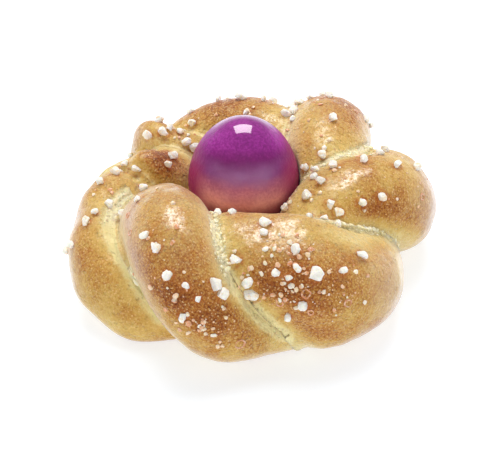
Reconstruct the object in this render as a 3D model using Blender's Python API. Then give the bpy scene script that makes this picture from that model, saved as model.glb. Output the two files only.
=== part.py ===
"""An Easter bread wreath: two strands of sweet dough twisted together and closed into a ring,
baked round a dyed egg and sprinkled with pearl sugar.

Run it with:  blender --background --python part.py
Lengths below are in millimetres and angles in degrees; Blender gets metres.
The wreath lies flat on z = 0. Angles turn anticlockwise seen from above, from +X on the right.
"""

import math
import random
from collections import namedtuple

import bmesh
import bpy
import numpy as np
from mathutils import Matrix, Vector

MM = 0.001

# The twist shows eight swellings, called lobes, where a strand crosses over the top of the rope.
# Even and odd lobes belong to the two strands in turn. For each lobe:
#   angle   where its crest stands on the ring        turn    share of the way from its crest to the
#   ring    radius of the rope's own line                     next one where it reaches the outer side
#   height  of the rope's line above the table        offset  of a strand from the rope's line
#   radius  of the strand at its crest                swell   how much it widens on the outer side
#   bulge   how far its outer side leans outwards     tuck    how far its inner start lies outwards
Lobe = namedtuple("Lobe", "name angle turn ring height offset radius swell bulge tuck")
LOBES = (
    Lobe("front_left", 240, 0.47, 48.5, 24.0, 16.0, 16.8, 0.93, 1.0, 1.0),
    Lobe("front_right", 285, 0.42, 50.0, 20.5, 9.0, 19.0, 1.04, 2.5, -1.0),
    Lobe("right", 348, 0.40, 45.0, 20.5, 12.0, 17.0, 1.25, 3.0, 1.5),
    Lobe("back_right", 398, 0.45, 47.5, 21.5, 11.5, 17.2, 1.12, -1.0, 0.0),
    Lobe("back", 435, 0.58, 47.0, 19.0, 8.5, 14.2, 1.02, -0.5, 0.0),
    Lobe("back_left", 488, 0.42, 47.0, 17.5, 9.0, 9.0, 1.10, 0.0, 1.0),
    Lobe("left", 512, 0.55, 38.0, 17.5, 5.0, 13.5, 0.85, -1.0, -0.5),
    Lobe("outer_left", 542, 0.44, 48.5, 18.5, 7.5, 12.5, 1.02, -1.0, 5.0),
)
UNDER_SHARE = 0.89  # thickness of a strand where it runs underneath, as a share of its neighbours above
RISE_SHARE = 0.97  # and where it climbs the inner side
CORE_SHARE = 0.80  # radius of the dough pressed together along the rope's own line

# Facets of the solid.
STRAND_STATIONS = 108
STRAND_SIDES = 16
BALL_SPAN = 50.0  # balls that shape a section lie within this many degrees of it
BALLS = 201

# The dyed egg stands in the ring with its narrow end up, leaning a little towards the front.
EGG_LENGTH = 56.0
EGG_WIDTH = 44.0
EGG_TAPER = 0.12
EGG_LEAN = 13.0
EGG_CENTRE = (3.0, 4.0, 36.5)
EGG_GAP = 0.35
EGG_SEGMENTS = 36
EGG_RINGS = 22

# Dough that has swelled in under the egg and closed on it: a ring with a low inner lip.
COLLAR_RADIUS = 33.0
COLLAR_HEIGHT = 25.0
COLLAR_SLOPE = 10.0
COLLAR_CHAMFER = 4.0
COLLAR_SUNK = 1.0  # below the table, where it is cut off flat
COLLAR_HOLE = 6.5
COLLAR_LIP_RADIUS = 20.0
COLLAR_LIP_HEIGHT = 12.0
COLLAR_SEGMENTS = 40

# The table's top is z = 0; what dips below it is cut away.
CUTTER_WIDTH = 300.0
CUTTER_DEPTH = 40.0

# Pearl sugar. The nibs that stand out are listed lobe by lobe as (along, across, size), which
# on_crust explains; SCATTER says how many more each lobe carries.
LARGE_NIBS = {
    "front_left": (
        (0.09, 42, 3.4), (0.15, 34, 4.4), (0.25, 40, 4.0), (0.37, 9, 4.8), (0.42, 20, 4.8),
        (0.31, 34, 2.6), (0.37, 39, 2.6), (0.39, 74, 3.4), (-0.21, 18, 3.6),
    ),
    "front_right": (
        (-0.11, 47, 4.6), (-0.03, 67, 4.2), (-0.01, 80, 4.6), (-0.02, 8, 3.4), (0.14, 21, 4.4),
        (0.16, 41, 3.0), (0.23, 44, 5.2), (0.33, 38, 3.4), (0.42, 23, 3.8), (0.22, 79, 3.8),
        (0.18, 101, 3.4), (0.14, 53, 2.6), (-0.36, -4, 3.2),
    ),
    "right": (
        (-0.20, 24, 4.0), (-0.21, 37, 4.0), (-0.22, -12, 4.2), (0.08, -3, 4.0), (-0.03, -19, 4.0),
        (-0.30, -40, 3.4), (-0.32, 8, 3.0), (-0.29, 26, 3.2), (-0.28, 40, 3.0), (0.34, -18, 4.4),
        (0.22, -14, 3.6), (-0.12, -28, 3.0),
    ),
    "back_right": (
        (0.16, 2, 3.6), (0.30, -20, 4.2), (0.16, -48, 3.8), (-0.29, -27, 3.6), (-0.33, -20, 3.4),
        (-0.39, -8, 3.4),
    ),
    "back": ((0.18, 12, 4.6), (0.31, 24, 3.2), (0.06, 16, 3.2), (-0.14, 16, 4.0), (0.46, -16, 4.0)),
    "back_left": (
        (-0.02, -1, 3.8), (0.10, -24, 3.8), (0.01, -18, 4.0), (-0.15, -25, 3.8), (-0.22, -34, 3.8),
        (0.05, 14, 3.4),
    ),
    "left": ((-0.16, -16, 3.8), (0.22, -20, 3.8), (-0.26, -60, 3.0)),
    "outer_left": ((-0.05, 15, 4.0), (0.07, 21, 4.0), (0.39, 20, 3.8), (0.25, -22, 4.0)),
}
SCATTER = {
    "front_left": 1, "front_right": 3, "right": 5, "back_right": 9,
    "back": 9, "back_left": 4, "left": 2, "outer_left": 5,
}
SCATTER_ALONG = (-0.4, 0.5)
SCATTER_ACROSS = (10, 34)  # middle and spread of the lean
NIB_SIZES = (2.8, 4.2)
NIB_CORNERS = 12
NIB_SUNK = 0.25  # share of a nib's size that lies in the crust
NIB_SPACING = 4.4
NIB_SEED = 7
NIB_ROUGHNESS = (0.80, 1.12)  # its corners lie between these shares of its radius
NIB_WIDTHS = (0.85, 1.15)
NIB_DEPTHS = (0.75, 1.00)
NIB_FLATNESS = 0.85

CRUST_COLOUR = (0.62, 0.33, 0.09, 1.0)
CRUST_ROUGHNESS = 0.45
CRUST_SHARP_ANGLE = 35.0
EGG_COLOUR = (0.33, 0.03, 0.24, 1.0)
EGG_ROUGHNESS = 0.2
EGG_SHARP_ANGLE = 60.0


# ---------------------------------------------------------------- the twist


def periodic_curve(angles, values, gain=0.0):
    """A smooth curve through (angle, value) knots that repeats each turn, gaining `gain`.

    It is a monotone cubic: between two knots it never passes beyond their values.
    """
    count = len(angles)
    span = range(-2, count + 3)
    x = np.array([angles[i % count] + 360.0 * (i // count) for i in span])
    y = np.array([values[i % count] + gain * (i // count) for i in span])
    step = np.diff(x)
    rise = np.diff(y) / step
    slope = np.zeros(len(x))
    before, after = rise[:-1], rise[1:]
    weight_before, weight_after = 2 * step[1:] + step[:-1], step[1:] + 2 * step[:-1]
    same_way = before * after > 0
    slope[1:-1][same_way] = ((weight_before + weight_after)[same_way]) / (
        weight_before[same_way] / before[same_way] + weight_after[same_way] / after[same_way]
    )

    def value_at(angle):
        angle = np.asarray(angle, float)
        turns = np.floor((angle - angles[0]) / 360.0)
        a = angle - 360.0 * turns
        i = np.clip(np.searchsorted(x, a, side="right") - 1, 1, len(x) - 3)
        h = step[i]
        t = (a - x[i]) / h
        y0, y1, m0, m1 = y[i], y[i + 1], slope[i] * h, slope[i + 1] * h
        cubic = (
            (2 * t**3 - 3 * t**2 + 1) * y0
            + (t**3 - 2 * t**2 + t) * m0
            + (3 * t**2 - 2 * t**3) * y1
            + (t**3 - t**2) * m1
        )
        return cubic + gain * turns

    return value_at


LOBE_COUNT = len(LOBES)
CRESTS = [lobe.angle for lobe in LOBES]
GAPS = [after - before for before, after in zip(CRESTS, CRESTS[1:] + [CRESTS[0] + 360])]
# A lobe's strand is outermost at its turn, and so the other strand, which crests next, is innermost.
TURNS = [lobe.angle + lobe.turn * gap for lobe, gap in zip(LOBES, GAPS)]
KNOTS = [angle for pair in zip(CRESTS, TURNS) for angle in pair]

lobe_number = periodic_curve(KNOTS, [0.5 * i for i in range(len(KNOTS))], gain=LOBE_COUNT)
ring_radius = periodic_curve(CRESTS, [lobe.ring for lobe in LOBES])
rope_height = periodic_curve(CRESTS, [lobe.height for lobe in LOBES])
rope_offset = periodic_curve(CRESTS, [lobe.offset for lobe in LOBES])


def strand_profile(strand):
    """A strand's radius, outward bulge and inward tuck, as curves of the ring angle."""
    radii, bulge_angles, bulges, tuck_angles, tucks = [], [], [], [], []
    for i, lobe in enumerate(LOBES):
        before, after = LOBES[i - 1], LOBES[(i + 1) % LOBE_COUNT]
        if i % 2 == strand:
            radii += [lobe.radius, lobe.radius * lobe.swell]
            bulge_angles.append(TURNS[i])
            bulges.append(lobe.bulge)
            tuck_angles.append(TURNS[i - 1] - (360 if i == 0 else 0))
            tucks.append(lobe.tuck)
        else:
            radii += [UNDER_SHARE * (before.radius + after.radius) / 2, RISE_SHARE * after.radius]
    return (
        periodic_curve(KNOTS, radii),
        periodic_curve(bulge_angles, bulges),
        periodic_curve(tuck_angles, tucks),
    )


STRANDS = [strand_profile(0), strand_profile(1)]
CORE = 2
core_radius = periodic_curve(CRESTS, [CORE_SHARE * lobe.radius for lobe in LOBES])


def core_at(angle):
    """Centre and radius of the rope's core, where the two strands are pressed together."""
    turn = np.radians(angle)
    reach = ring_radius(angle)
    centre = np.stack([reach * np.cos(turn), reach * np.sin(turn), rope_height(angle)], axis=-1)
    return centre, core_radius(angle)


def strand_at(strand, angle):
    """Centre and radius of a strand, or of the core, at ring angles, in millimetres."""
    if strand == CORE:
        return core_at(angle)
    radius_curve, bulge_curve, tuck_curve = STRANDS[strand]
    angle = np.asarray(angle, float)
    around = np.pi / 2 - np.pi * (lobe_number(angle) - strand)  # 90 degrees is the top
    outward, upward = np.cos(around), np.sin(around)
    reach = (
        ring_radius(angle)
        + rope_offset(angle) * outward
        + bulge_curve(angle) * np.clip(outward, 0, 1) ** 2
        + tuck_curve(angle) * np.clip(-outward, 0, 1) ** 2
    )
    turn = np.radians(angle)
    z = rope_height(angle) + rope_offset(angle) * upward
    centre = np.stack([reach * np.cos(turn), reach * np.sin(turn), z], axis=-1)
    return centre, radius_curve(angle)


# ---------------------------------------------------------------- Blender helpers


def clear_scene():
    for obj in list(bpy.data.objects):
        bpy.data.objects.remove(obj, do_unlink=True)


def add_object(name, data, parent=None):
    obj = bpy.data.objects.new(name, data)
    bpy.context.scene.collection.objects.link(obj)
    obj.parent = parent
    return obj


def evaluated_mesh(obj):
    """A new mesh with the object's curve or modifiers worked out."""
    bpy.context.view_layer.update()
    graph = bpy.context.evaluated_depsgraph_get()
    return bpy.data.meshes.new_from_object(obj.evaluated_get(graph))


def apply_boolean(obj, operation, other):
    """Joins or cuts obj with an object or a collection, and removes what was used.

    The twisted strands touch along shallow creases, where EXACT leaves open edges, so the
    solver is MANIFOLD. It needs closed meshes, which all the pieces are.
    """
    boolean = obj.modifiers.new(operation.title(), "BOOLEAN")
    boolean.operation = operation
    boolean.solver = "MANIFOLD"
    if isinstance(other, bpy.types.Collection):
        boolean.operand_type = "COLLECTION"
        boolean.collection = other
        used = list(other.objects)
    else:
        boolean.object = other
        used = [other]
    mesh = evaluated_mesh(obj)
    obj.modifiers.clear()
    obj.data = mesh
    for piece in used:
        bpy.data.objects.remove(piece, do_unlink=True)


def principled(name, colour, roughness):
    material = bpy.data.materials.new(name)
    material.use_nodes = True
    shader = material.node_tree.nodes["Principled BSDF"]
    shader.inputs["Base Color"].default_value = colour
    shader.inputs["Roughness"].default_value = roughness
    shader.inputs["Metallic"].default_value = 0.0
    return material


def shade(obj, material, sharp_angle):
    obj.data.materials.clear()
    obj.data.materials.append(material)
    obj.data.shade_smooth()
    obj.data.set_sharp_from_angle(angle=math.radians(sharp_angle))


# ---------------------------------------------------------------- dough


def reach_of_skin(strand, angle, lean):
    """How far the dough's skin lies from a strand's centre line, in the upright plane at a ring angle.

    The strand is taken as filled with balls along its line. A ray from the line, leaning up from
    the outward direction, reaches the skin where it leaves the last ball that it meets.
    """
    near = np.linspace(angle - BALL_SPAN, angle + BALL_SPAN, BALLS)
    centres, radii = strand_at(strand, near)
    start, _ = strand_at(strand, angle)
    turn = math.radians(angle)
    outward, upward = np.cos(lean)[:, None], np.sin(lean)[:, None]
    rays = outward * (math.cos(turn), math.sin(turn), 0.0) + upward * (0.0, 0.0, 1.0)
    offsets = start - centres
    along = rays @ offsets.T
    under_root = along**2 - np.sum(offsets**2, axis=1) + radii**2
    leaves = np.sqrt(np.maximum(under_root, 0)) - along
    return start, rays, np.max(np.where(under_root > 0, leaves, 0), axis=1)


def make_strand(strand):
    """One closed strand of dough, from upright sections round the ring."""
    bm = bmesh.new()
    lean = 2 * np.pi * np.arange(STRAND_SIDES) / STRAND_SIDES
    sections = []
    for k in range(STRAND_STATIONS):
        start, rays, reach = reach_of_skin(strand, 360.0 * k / STRAND_STATIONS, lean)
        skin = start + reach[:, None] * rays
        sections.append([bm.verts.new(point) for point in skin * MM])
    for k, section in enumerate(sections):
        following = sections[(k + 1) % STRAND_STATIONS]
        for i in range(STRAND_SIDES):
            bm.faces.new((section[i - 1], following[i - 1], following[i], section[i]))
    bmesh.ops.recalc_face_normals(bm, faces=bm.faces)
    mesh = bpy.data.meshes.new(f"strand_{strand}")
    bm.to_mesh(mesh)
    bm.free()
    return add_object(f"strand_{strand}", mesh)


def make_lathe(name, profile, segments, centre):
    """A turned solid from (radius, height) points that run round its closed section."""
    bm = bmesh.new()
    rings = []
    for k in range(segments):
        turn = 2 * math.pi * k / segments
        rings.append(
            [bm.verts.new((r * math.cos(turn), r * math.sin(turn), z)) for r, z in profile]
        )
    for k, ring in enumerate(rings):
        following = rings[(k + 1) % segments]
        for j in range(len(profile)):
            i = j - 1
            bm.faces.new((ring[i], following[i], following[j], ring[j]))
    bmesh.ops.recalc_face_normals(bm, faces=bm.faces)
    bmesh.ops.scale(bm, vec=(MM, MM, MM), verts=bm.verts)
    mesh = bpy.data.meshes.new(name)
    bm.to_mesh(mesh)
    bm.free()
    obj = add_object(name, mesh)
    obj.location = Vector(centre) * MM
    return obj


def make_collar():
    """The dough under the egg: a low ring that the twist hides, narrowing the hole."""
    profile = (
        (COLLAR_HOLE, -COLLAR_SUNK),
        (COLLAR_RADIUS - COLLAR_CHAMFER, -COLLAR_SUNK),
        (COLLAR_RADIUS, COLLAR_CHAMFER),
        (COLLAR_RADIUS, COLLAR_HEIGHT - COLLAR_SLOPE),
        (COLLAR_RADIUS - COLLAR_CHAMFER, COLLAR_HEIGHT),
        (COLLAR_LIP_RADIUS, COLLAR_HEIGHT),
        (COLLAR_HOLE, COLLAR_LIP_HEIGHT),
    )
    return make_lathe("collar", profile, COLLAR_SEGMENTS, (EGG_CENTRE[0], EGG_CENTRE[1], 0))


def make_table_cutter():
    """Everything below the table, which flattens the base."""
    bm = bmesh.new()
    bmesh.ops.create_cube(bm, size=1.0)
    bmesh.ops.scale(bm, vec=(CUTTER_WIDTH, CUTTER_WIDTH, CUTTER_DEPTH), verts=bm.verts)
    bmesh.ops.translate(bm, vec=(0, 0, -CUTTER_DEPTH / 2), verts=bm.verts)
    bmesh.ops.scale(bm, vec=(MM, MM, MM), verts=bm.verts)
    mesh = bpy.data.meshes.new("table")
    bm.to_mesh(mesh)
    bm.free()
    return add_object("table", mesh)


# ---------------------------------------------------------------- egg


def egg_matrix():
    """From the upright egg at the origin to the egg in the wreath, in millimetres."""
    return Matrix.Translation(EGG_CENTRE) @ Matrix.Rotation(math.radians(EGG_LEAN), 4, "X")


def make_egg(name, grown=0.0):
    """An egg with its narrow end up; `grown` adds a margin all round."""
    bm = bmesh.new()
    bmesh.ops.create_uvsphere(bm, u_segments=EGG_SEGMENTS, v_segments=EGG_RINGS, radius=1.0)
    for vert in bm.verts:
        girth = (EGG_WIDTH / 2 + grown) * (1 - EGG_TAPER * vert.co.z)
        vert.co = Vector((girth * vert.co.x, girth * vert.co.y, (EGG_LENGTH / 2 + grown) * vert.co.z))
    bmesh.ops.scale(bm, vec=(MM, MM, MM), verts=bm.verts)
    mesh = bpy.data.meshes.new(name)
    bm.to_mesh(mesh)
    bm.free()
    egg = add_object(name, mesh)
    egg.location = Vector(EGG_CENTRE) * MM
    egg.rotation_euler = (math.radians(EGG_LEAN), 0, 0)
    return egg


def depth_in_egg(point):
    """How far a point lies inside the egg, in millimetres; negative outside it."""
    local = egg_matrix().inverted() @ Vector(point)
    z = local.z / (EGG_LENGTH / 2)
    girth = EGG_WIDTH / 2 * (1 - EGG_TAPER * z)
    share = math.sqrt((local.x**2 + local.y**2) / girth**2 + z * z)
    return (1 - share) * EGG_WIDTH / 2


# ---------------------------------------------------------------- pearl sugar


def angle_of_lobe(number):
    """The ring angle at a fractional lobe number, by bisection."""
    low, high = CRESTS[0] - 360.0, CRESTS[0] + 720.0
    for _ in range(40):
        middle = (low + high) / 2
        if lobe_number(middle) < number:
            low = middle
        else:
            high = middle
    return low


def on_crust(lobe, along, across):
    """A point on a lobe and the direction out of the crust there.

    along is 0 at the crest and 0.5 at its turn to the outer side; across leans from the top
    of the strand (0) to its outer side (90), in degrees.
    """
    strand = lobe % 2
    angle = angle_of_lobe(lobe + along)
    (behind, ahead), _ = strand_at(strand, np.array([angle - 0.5, angle + 0.5]))
    centre, radius = strand_at(strand, angle)
    forward = Vector(ahead - behind).normalized()
    sideways = forward.cross(Vector((0, 0, 1))).normalized()
    up = sideways.cross(forward)
    lean = math.radians(across)
    outward = sideways * math.sin(lean) + up * math.cos(lean)
    return Vector(centre) + outward * float(radius), outward


TRACK_ANGLES = np.linspace(0, 360, 360, endpoint=False)
TRACKS = [strand_at(s, TRACK_ANGLES) for s in (0, 1)]


def depth_in_strand(strand, point):
    """How far a point lies inside a strand, in millimetres; negative outside it."""
    centres, radii = TRACKS[strand]
    return float(np.max(radii - np.linalg.norm(centres - np.array(point), axis=1)))


def place_nibs():
    """Centres, sizes and directions of the sugar nibs: the listed ones, then a seeded scatter."""
    draw = random.Random(NIB_SEED)
    placed = []

    def try_place(lobe, along, across, size):
        point, outward = on_crust(lobe, along, across)
        centre = point + outward * size * (0.5 - NIB_SUNK)
        clear_of_egg = depth_in_egg(centre) < -(size / 2 + 2 * EGG_GAP)
        on_top = depth_in_strand(1 - lobe % 2, centre) < 0
        if clear_of_egg and on_top:
            placed.append((centre, size, outward))

    def crowded(lobe, along, across):
        point = on_crust(lobe, along, across)[0]
        return any((point - other).length < NIB_SPACING for other, _, _ in placed)

    for lobe, details in enumerate(LOBES):
        for along, across, size in LARGE_NIBS[details.name]:
            try_place(lobe, along, across, size)
        wanted = len(placed) + SCATTER[details.name]
        while len(placed) < wanted:
            along, across = draw.uniform(*SCATTER_ALONG), draw.gauss(*SCATTER_ACROSS)
            if not crowded(lobe, along, across):
                try_place(lobe, along, across, draw.uniform(*NIB_SIZES))
    return placed


def make_nib(name, centre, size, outward, draw):
    """A blunt crumb of pearl sugar: the hull of jittered points on a ball."""
    bm = bmesh.new()
    golden = math.pi * (3 - math.sqrt(5))
    for k in range(NIB_CORNERS):
        z = 1 - 2 * (k + 0.5) / NIB_CORNERS
        ring = math.sqrt(1 - z * z)
        stretch = draw.uniform(*NIB_ROUGHNESS) * size / 2
        bm.verts.new(
            (stretch * ring * math.cos(golden * k), stretch * ring * math.sin(golden * k), stretch * z)
        )
    bmesh.ops.convex_hull(bm, input=bm.verts)
    bmesh.ops.recalc_face_normals(bm, faces=bm.faces)
    spin = Matrix.Rotation(draw.uniform(0, 2 * math.pi), 4, "Z")
    stand = outward.to_track_quat("Z", "Y").to_matrix().to_4x4()
    squeeze = Matrix.Diagonal((draw.uniform(*NIB_WIDTHS), draw.uniform(*NIB_DEPTHS), NIB_FLATNESS, 1.0))
    place = Matrix.Scale(MM, 4) @ Matrix.Translation(centre) @ stand @ spin @ squeeze
    bm.transform(place)
    mesh = bpy.data.meshes.new(name)
    bm.to_mesh(mesh)
    bm.free()
    return bpy.data.objects.new(name, mesh)


def make_sugar(placed):
    """All the nibs in one collection, ready to be fused to the dough."""
    draw = random.Random(NIB_SEED + 1)
    sugar = bpy.data.collections.new("sugar")
    bpy.context.scene.collection.children.link(sugar)
    for k, (centre, size, outward) in enumerate(placed):
        sugar.objects.link(make_nib(f"nib_{k}", centre, size, outward, draw))
    return sugar


def keep_largest_body(obj):
    """Drops any loose scrap that fusing left behind."""
    bm = bmesh.new()
    bm.from_mesh(obj.data)
    bodies, unseen = [], set(bm.verts)
    while unseen:
        edge_of_search = [unseen.pop()]
        body = set(edge_of_search)
        while edge_of_search:
            vert = edge_of_search.pop()
            for edge in vert.link_edges:
                other = edge.other_vert(vert)
                if other in unseen:
                    unseen.discard(other)
                    body.add(other)
                    edge_of_search.append(other)
        bodies.append(body)
    bodies.sort(key=len)
    for body in bodies[:-1]:
        bmesh.ops.delete(bm, geom=list(body), context="VERTS")
    bm.to_mesh(obj.data)
    bm.free()


# ---------------------------------------------------------------- the wreath


def make_bread():
    bread = make_strand(0)
    bread.name = "bread_wreath"
    apply_boolean(bread, "UNION", make_strand(1))
    apply_boolean(bread, "UNION", make_strand(CORE))
    apply_boolean(bread, "UNION", make_collar())
    apply_boolean(bread, "DIFFERENCE", make_egg("egg_hollow", grown=EGG_GAP))
    apply_boolean(bread, "DIFFERENCE", make_table_cutter())
    apply_boolean(bread, "UNION", make_sugar(place_nibs()))
    keep_largest_body(bread)
    return bread


def centre_on_box(root, pieces):
    """Moves the wreath so that the middle of its bounding box stands over the origin."""
    bpy.context.view_layer.update()
    corners = [piece.matrix_world @ vert.co for piece in pieces for vert in piece.data.vertices]
    for axis in (0, 1):
        values = [corner[axis] for corner in corners]
        root.location[axis] = -(min(values) + max(values)) / 2


def main():
    clear_scene()
    root = add_object("wreath", None)
    bread = make_bread()
    egg = make_egg("easter_egg")
    bread.parent = egg.parent = root
    centre_on_box(root, (bread, egg))
    shade(bread, principled("golden_crust", CRUST_COLOUR, CRUST_ROUGHNESS), CRUST_SHARP_ANGLE)
    shade(egg, principled("purple_shell", EGG_COLOUR, EGG_ROUGHNESS), EGG_SHARP_ANGLE)


main()
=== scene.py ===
# %% [markdown]
# # An Easter bread wreath
#
# Two strands of sweet dough are twisted round each other, closed into a ring and baked round a dyed
# egg. Pearl sugar is sprinkled on top before baking. This lesson makes the wreath's looks: the dough's
# skin, the sugar, the egg, and a small white studio. The solids of the wreath already exist as a frame.
# We load that frame first, because every piece we make has to sit exactly where its solid is.

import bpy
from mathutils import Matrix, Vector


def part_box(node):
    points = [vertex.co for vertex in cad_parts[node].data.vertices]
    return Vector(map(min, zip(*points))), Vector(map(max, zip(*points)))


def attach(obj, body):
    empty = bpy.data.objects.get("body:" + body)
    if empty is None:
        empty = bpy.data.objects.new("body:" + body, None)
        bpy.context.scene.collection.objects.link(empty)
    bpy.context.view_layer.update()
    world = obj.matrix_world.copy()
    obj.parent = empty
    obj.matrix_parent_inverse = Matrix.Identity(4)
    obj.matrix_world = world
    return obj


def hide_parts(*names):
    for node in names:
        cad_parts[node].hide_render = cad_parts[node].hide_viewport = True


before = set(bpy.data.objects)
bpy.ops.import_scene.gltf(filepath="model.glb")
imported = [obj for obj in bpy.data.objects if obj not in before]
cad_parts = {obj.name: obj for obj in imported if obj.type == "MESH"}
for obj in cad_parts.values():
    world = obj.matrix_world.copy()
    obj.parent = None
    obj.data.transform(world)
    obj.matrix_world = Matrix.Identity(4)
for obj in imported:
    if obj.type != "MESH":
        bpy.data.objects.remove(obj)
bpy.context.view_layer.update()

# %% [markdown]
# ## Tools
#
# Blender's own modules make objects, meshes and materials. NumPy works on many points at once, which
# is what a skin of a hundred thousand points needs. We think in millimetres, as a baker's ruler would,
# and turn them into Blender's metres only when a mesh is made.

# %% Tools
import math
import random
from collections import namedtuple

import bmesh
import bpy
import numpy as np
from mathutils import Matrix, Vector, noise
from mathutils.bvhtree import BVHTree
from mathutils.kdtree import KDTree

MM = 0.001

# %% [markdown]
# ## The twist
#
# A rope of two strands shows a row of slanted swellings. We call each one a lobe: it is the place where
# a strand crosses over the top. Even and odd lobes belong to the two strands in turn. A hand-made twist
# is never regular, so each lobe gets its own measures: where its crest stands on the ring, how far on
# it reaches the outer side, and how high, wide and thick the rope is there.

# %% Measures of the lobes
Lobe = namedtuple("Lobe", "name angle turn ring height offset radius swell bulge tuck")
LOBES = (
    Lobe("front_left", 240, 0.47, 48.5, 24.0, 16.0, 16.8, 0.93, 1.0, 1.0),
    Lobe("front_right", 285, 0.42, 50.0, 20.5, 9.0, 19.0, 1.04, 2.5, -1.0),
    Lobe("right", 348, 0.40, 45.0, 20.5, 12.0, 17.0, 1.25, 3.0, 1.5),
    Lobe("back_right", 398, 0.45, 47.5, 21.5, 11.5, 17.2, 1.12, -1.0, 0.0),
    Lobe("back", 435, 0.58, 47.0, 19.0, 8.5, 14.2, 1.02, -0.5, 0.0),
    Lobe("back_left", 488, 0.42, 47.0, 17.5, 9.0, 9.0, 1.10, 0.0, 1.0),
    Lobe("left", 512, 0.55, 38.0, 17.5, 5.0, 13.5, 0.85, -1.0, -0.5),
    Lobe("outer_left", 542, 0.44, 48.5, 18.5, 7.5, 12.5, 1.02, -1.0, 5.0),
)
NAMES = [lobe.name for lobe in LOBES]
LOBE_COUNT = len(LOBES)
UNDER_SHARE = 0.89  # thickness of a strand underneath, as a share of its neighbours on top
RISE_SHARE = 0.97  # and where it climbs the inner side
CORE_SHARE = 0.80  # radius of the dough pressed together along the rope's own line
print("lobes:", ", ".join(NAMES))

# %% [markdown]
# Between the lobes the measures have to change smoothly, and the last has to flow into the first. A
# monotone cubic does that: a smooth curve that never swings beyond the values it joins, as dough would
# not either. Blender's curves could do it too, but a formula can be asked for its value anywhere.


# %% Smooth curves that close
def periodic_curve(angles, values, gain=0.0):
    """A smooth curve through (angle, value) knots that repeats each turn, gaining `gain`."""
    count = len(angles)
    span = range(-2, count + 3)
    x = np.array([angles[i % count] + 360.0 * (i // count) for i in span])
    y = np.array([values[i % count] + gain * (i // count) for i in span])
    step = np.diff(x)
    rise = np.diff(y) / step
    slope = np.zeros(len(x))
    before, after = rise[:-1], rise[1:]
    weight_before, weight_after = 2 * step[1:] + step[:-1], step[1:] + 2 * step[:-1]
    same_way = before * after > 0
    slope[1:-1][same_way] = ((weight_before + weight_after)[same_way]) / (
        weight_before[same_way] / before[same_way] + weight_after[same_way] / after[same_way]
    )

    def value_at(angle):
        angle = np.asarray(angle, float)
        turns = np.floor((angle - angles[0]) / 360.0)
        a = angle - 360.0 * turns
        i = np.clip(np.searchsorted(x, a, side="right") - 1, 1, len(x) - 3)
        h = step[i]
        t = (a - x[i]) / h
        y0, y1, m0, m1 = y[i], y[i + 1], slope[i] * h, slope[i + 1] * h
        cubic = (
            (2 * t**3 - 3 * t**2 + 1) * y0
            + (t**3 - 2 * t**2 + t) * m0
            + (3 * t**2 - 2 * t**3) * y1
            + (t**3 - t**2) * m1
        )
        return cubic + gain * turns

    return value_at


CRESTS = [lobe.angle for lobe in LOBES]
GAPS = [after - before for before, after in zip(CRESTS, CRESTS[1:] + [CRESTS[0] + 360])]
TURNS = [lobe.angle + lobe.turn * gap for lobe, gap in zip(LOBES, GAPS)]
KNOTS = [angle for pair in zip(CRESTS, TURNS) for angle in pair]
lobe_number = periodic_curve(KNOTS, [0.5 * i for i in range(len(KNOTS))], gain=LOBE_COUNT)
ring_radius = periodic_curve(CRESTS, [lobe.ring for lobe in LOBES])
rope_height = periodic_curve(CRESTS, [lobe.height for lobe in LOBES])
rope_offset = periodic_curve(CRESTS, [lobe.offset for lobe in LOBES])
core_radius = periodic_curve(CRESTS, [CORE_SHARE * lobe.radius for lobe in LOBES])
print("rope radius from", min(lobe.ring for lobe in LOBES), "to", max(lobe.ring for lobe in LOBES), "mm")

# %% [markdown]
# A strand's middle line circles round the rope's line once every two lobes. Its thickness follows the
# lobes as well: fullest on top and outside, a little thinner where it is pressed underneath.


# %% The two strands and the core
def strand_profile(strand):
    """A strand's radius, outward bulge and inward tuck, as curves of the ring angle."""
    radii, bulge_angles, bulges, tuck_angles, tucks = [], [], [], [], []
    for i, lobe in enumerate(LOBES):
        before, after = LOBES[i - 1], LOBES[(i + 1) % LOBE_COUNT]
        if i % 2 == strand:
            radii += [lobe.radius, lobe.radius * lobe.swell]
            bulge_angles.append(TURNS[i])
            bulges.append(lobe.bulge)
            tuck_angles.append(TURNS[i - 1] - (360 if i == 0 else 0))
            tucks.append(lobe.tuck)
        else:
            radii += [UNDER_SHARE * (before.radius + after.radius) / 2, RISE_SHARE * after.radius]
    return (
        periodic_curve(KNOTS, radii),
        periodic_curve(bulge_angles, bulges),
        periodic_curve(tuck_angles, tucks),
    )


STRANDS = [strand_profile(0), strand_profile(1)]
CORE = 2


def strand_at(strand, angle):
    """Centre and radius of a strand, or of the core, at ring angles."""
    angle = np.asarray(angle, float)
    turn = np.radians(angle)
    reach, z, radius = ring_radius(angle), rope_height(angle), core_radius(angle)
    if strand != CORE:
        radius_curve, bulge_curve, tuck_curve = STRANDS[strand]
        around = np.pi / 2 - np.pi * (lobe_number(angle) - strand)  # 90 degrees is the top
        outward, upward = np.cos(around), np.sin(around)
        reach = (
            reach
            + rope_offset(angle) * outward
            + bulge_curve(angle) * np.clip(outward, 0, 1) ** 2
            + tuck_curve(angle) * np.clip(-outward, 0, 1) ** 2
        )
        z = z + rope_offset(angle) * upward
        radius = radius_curve(angle)
    return np.stack([reach * np.cos(turn), reach * np.sin(turn), z], axis=-1), radius


BALL_STEP = 1.0  # degrees between the balls that fill a strand
BALL_ANGLES = np.arange(0, 360, BALL_STEP)
CHAINS = [strand_at(s, BALL_ANGLES) for s in (0, 1, CORE)]
for chain, (centres, radii) in enumerate(CHAINS):
    print("chain", chain, "of", len(radii), "balls, radius", radii.min().round(1), "to", radii.max().round(1))

# %% [markdown]
# ## The egg's form
#
# A hen's egg is a stretched ball whose girth shrinks towards one end. One formula gives both the shell
# we shall see and the hollow that it presses into the dough, so the two always fit.

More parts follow.
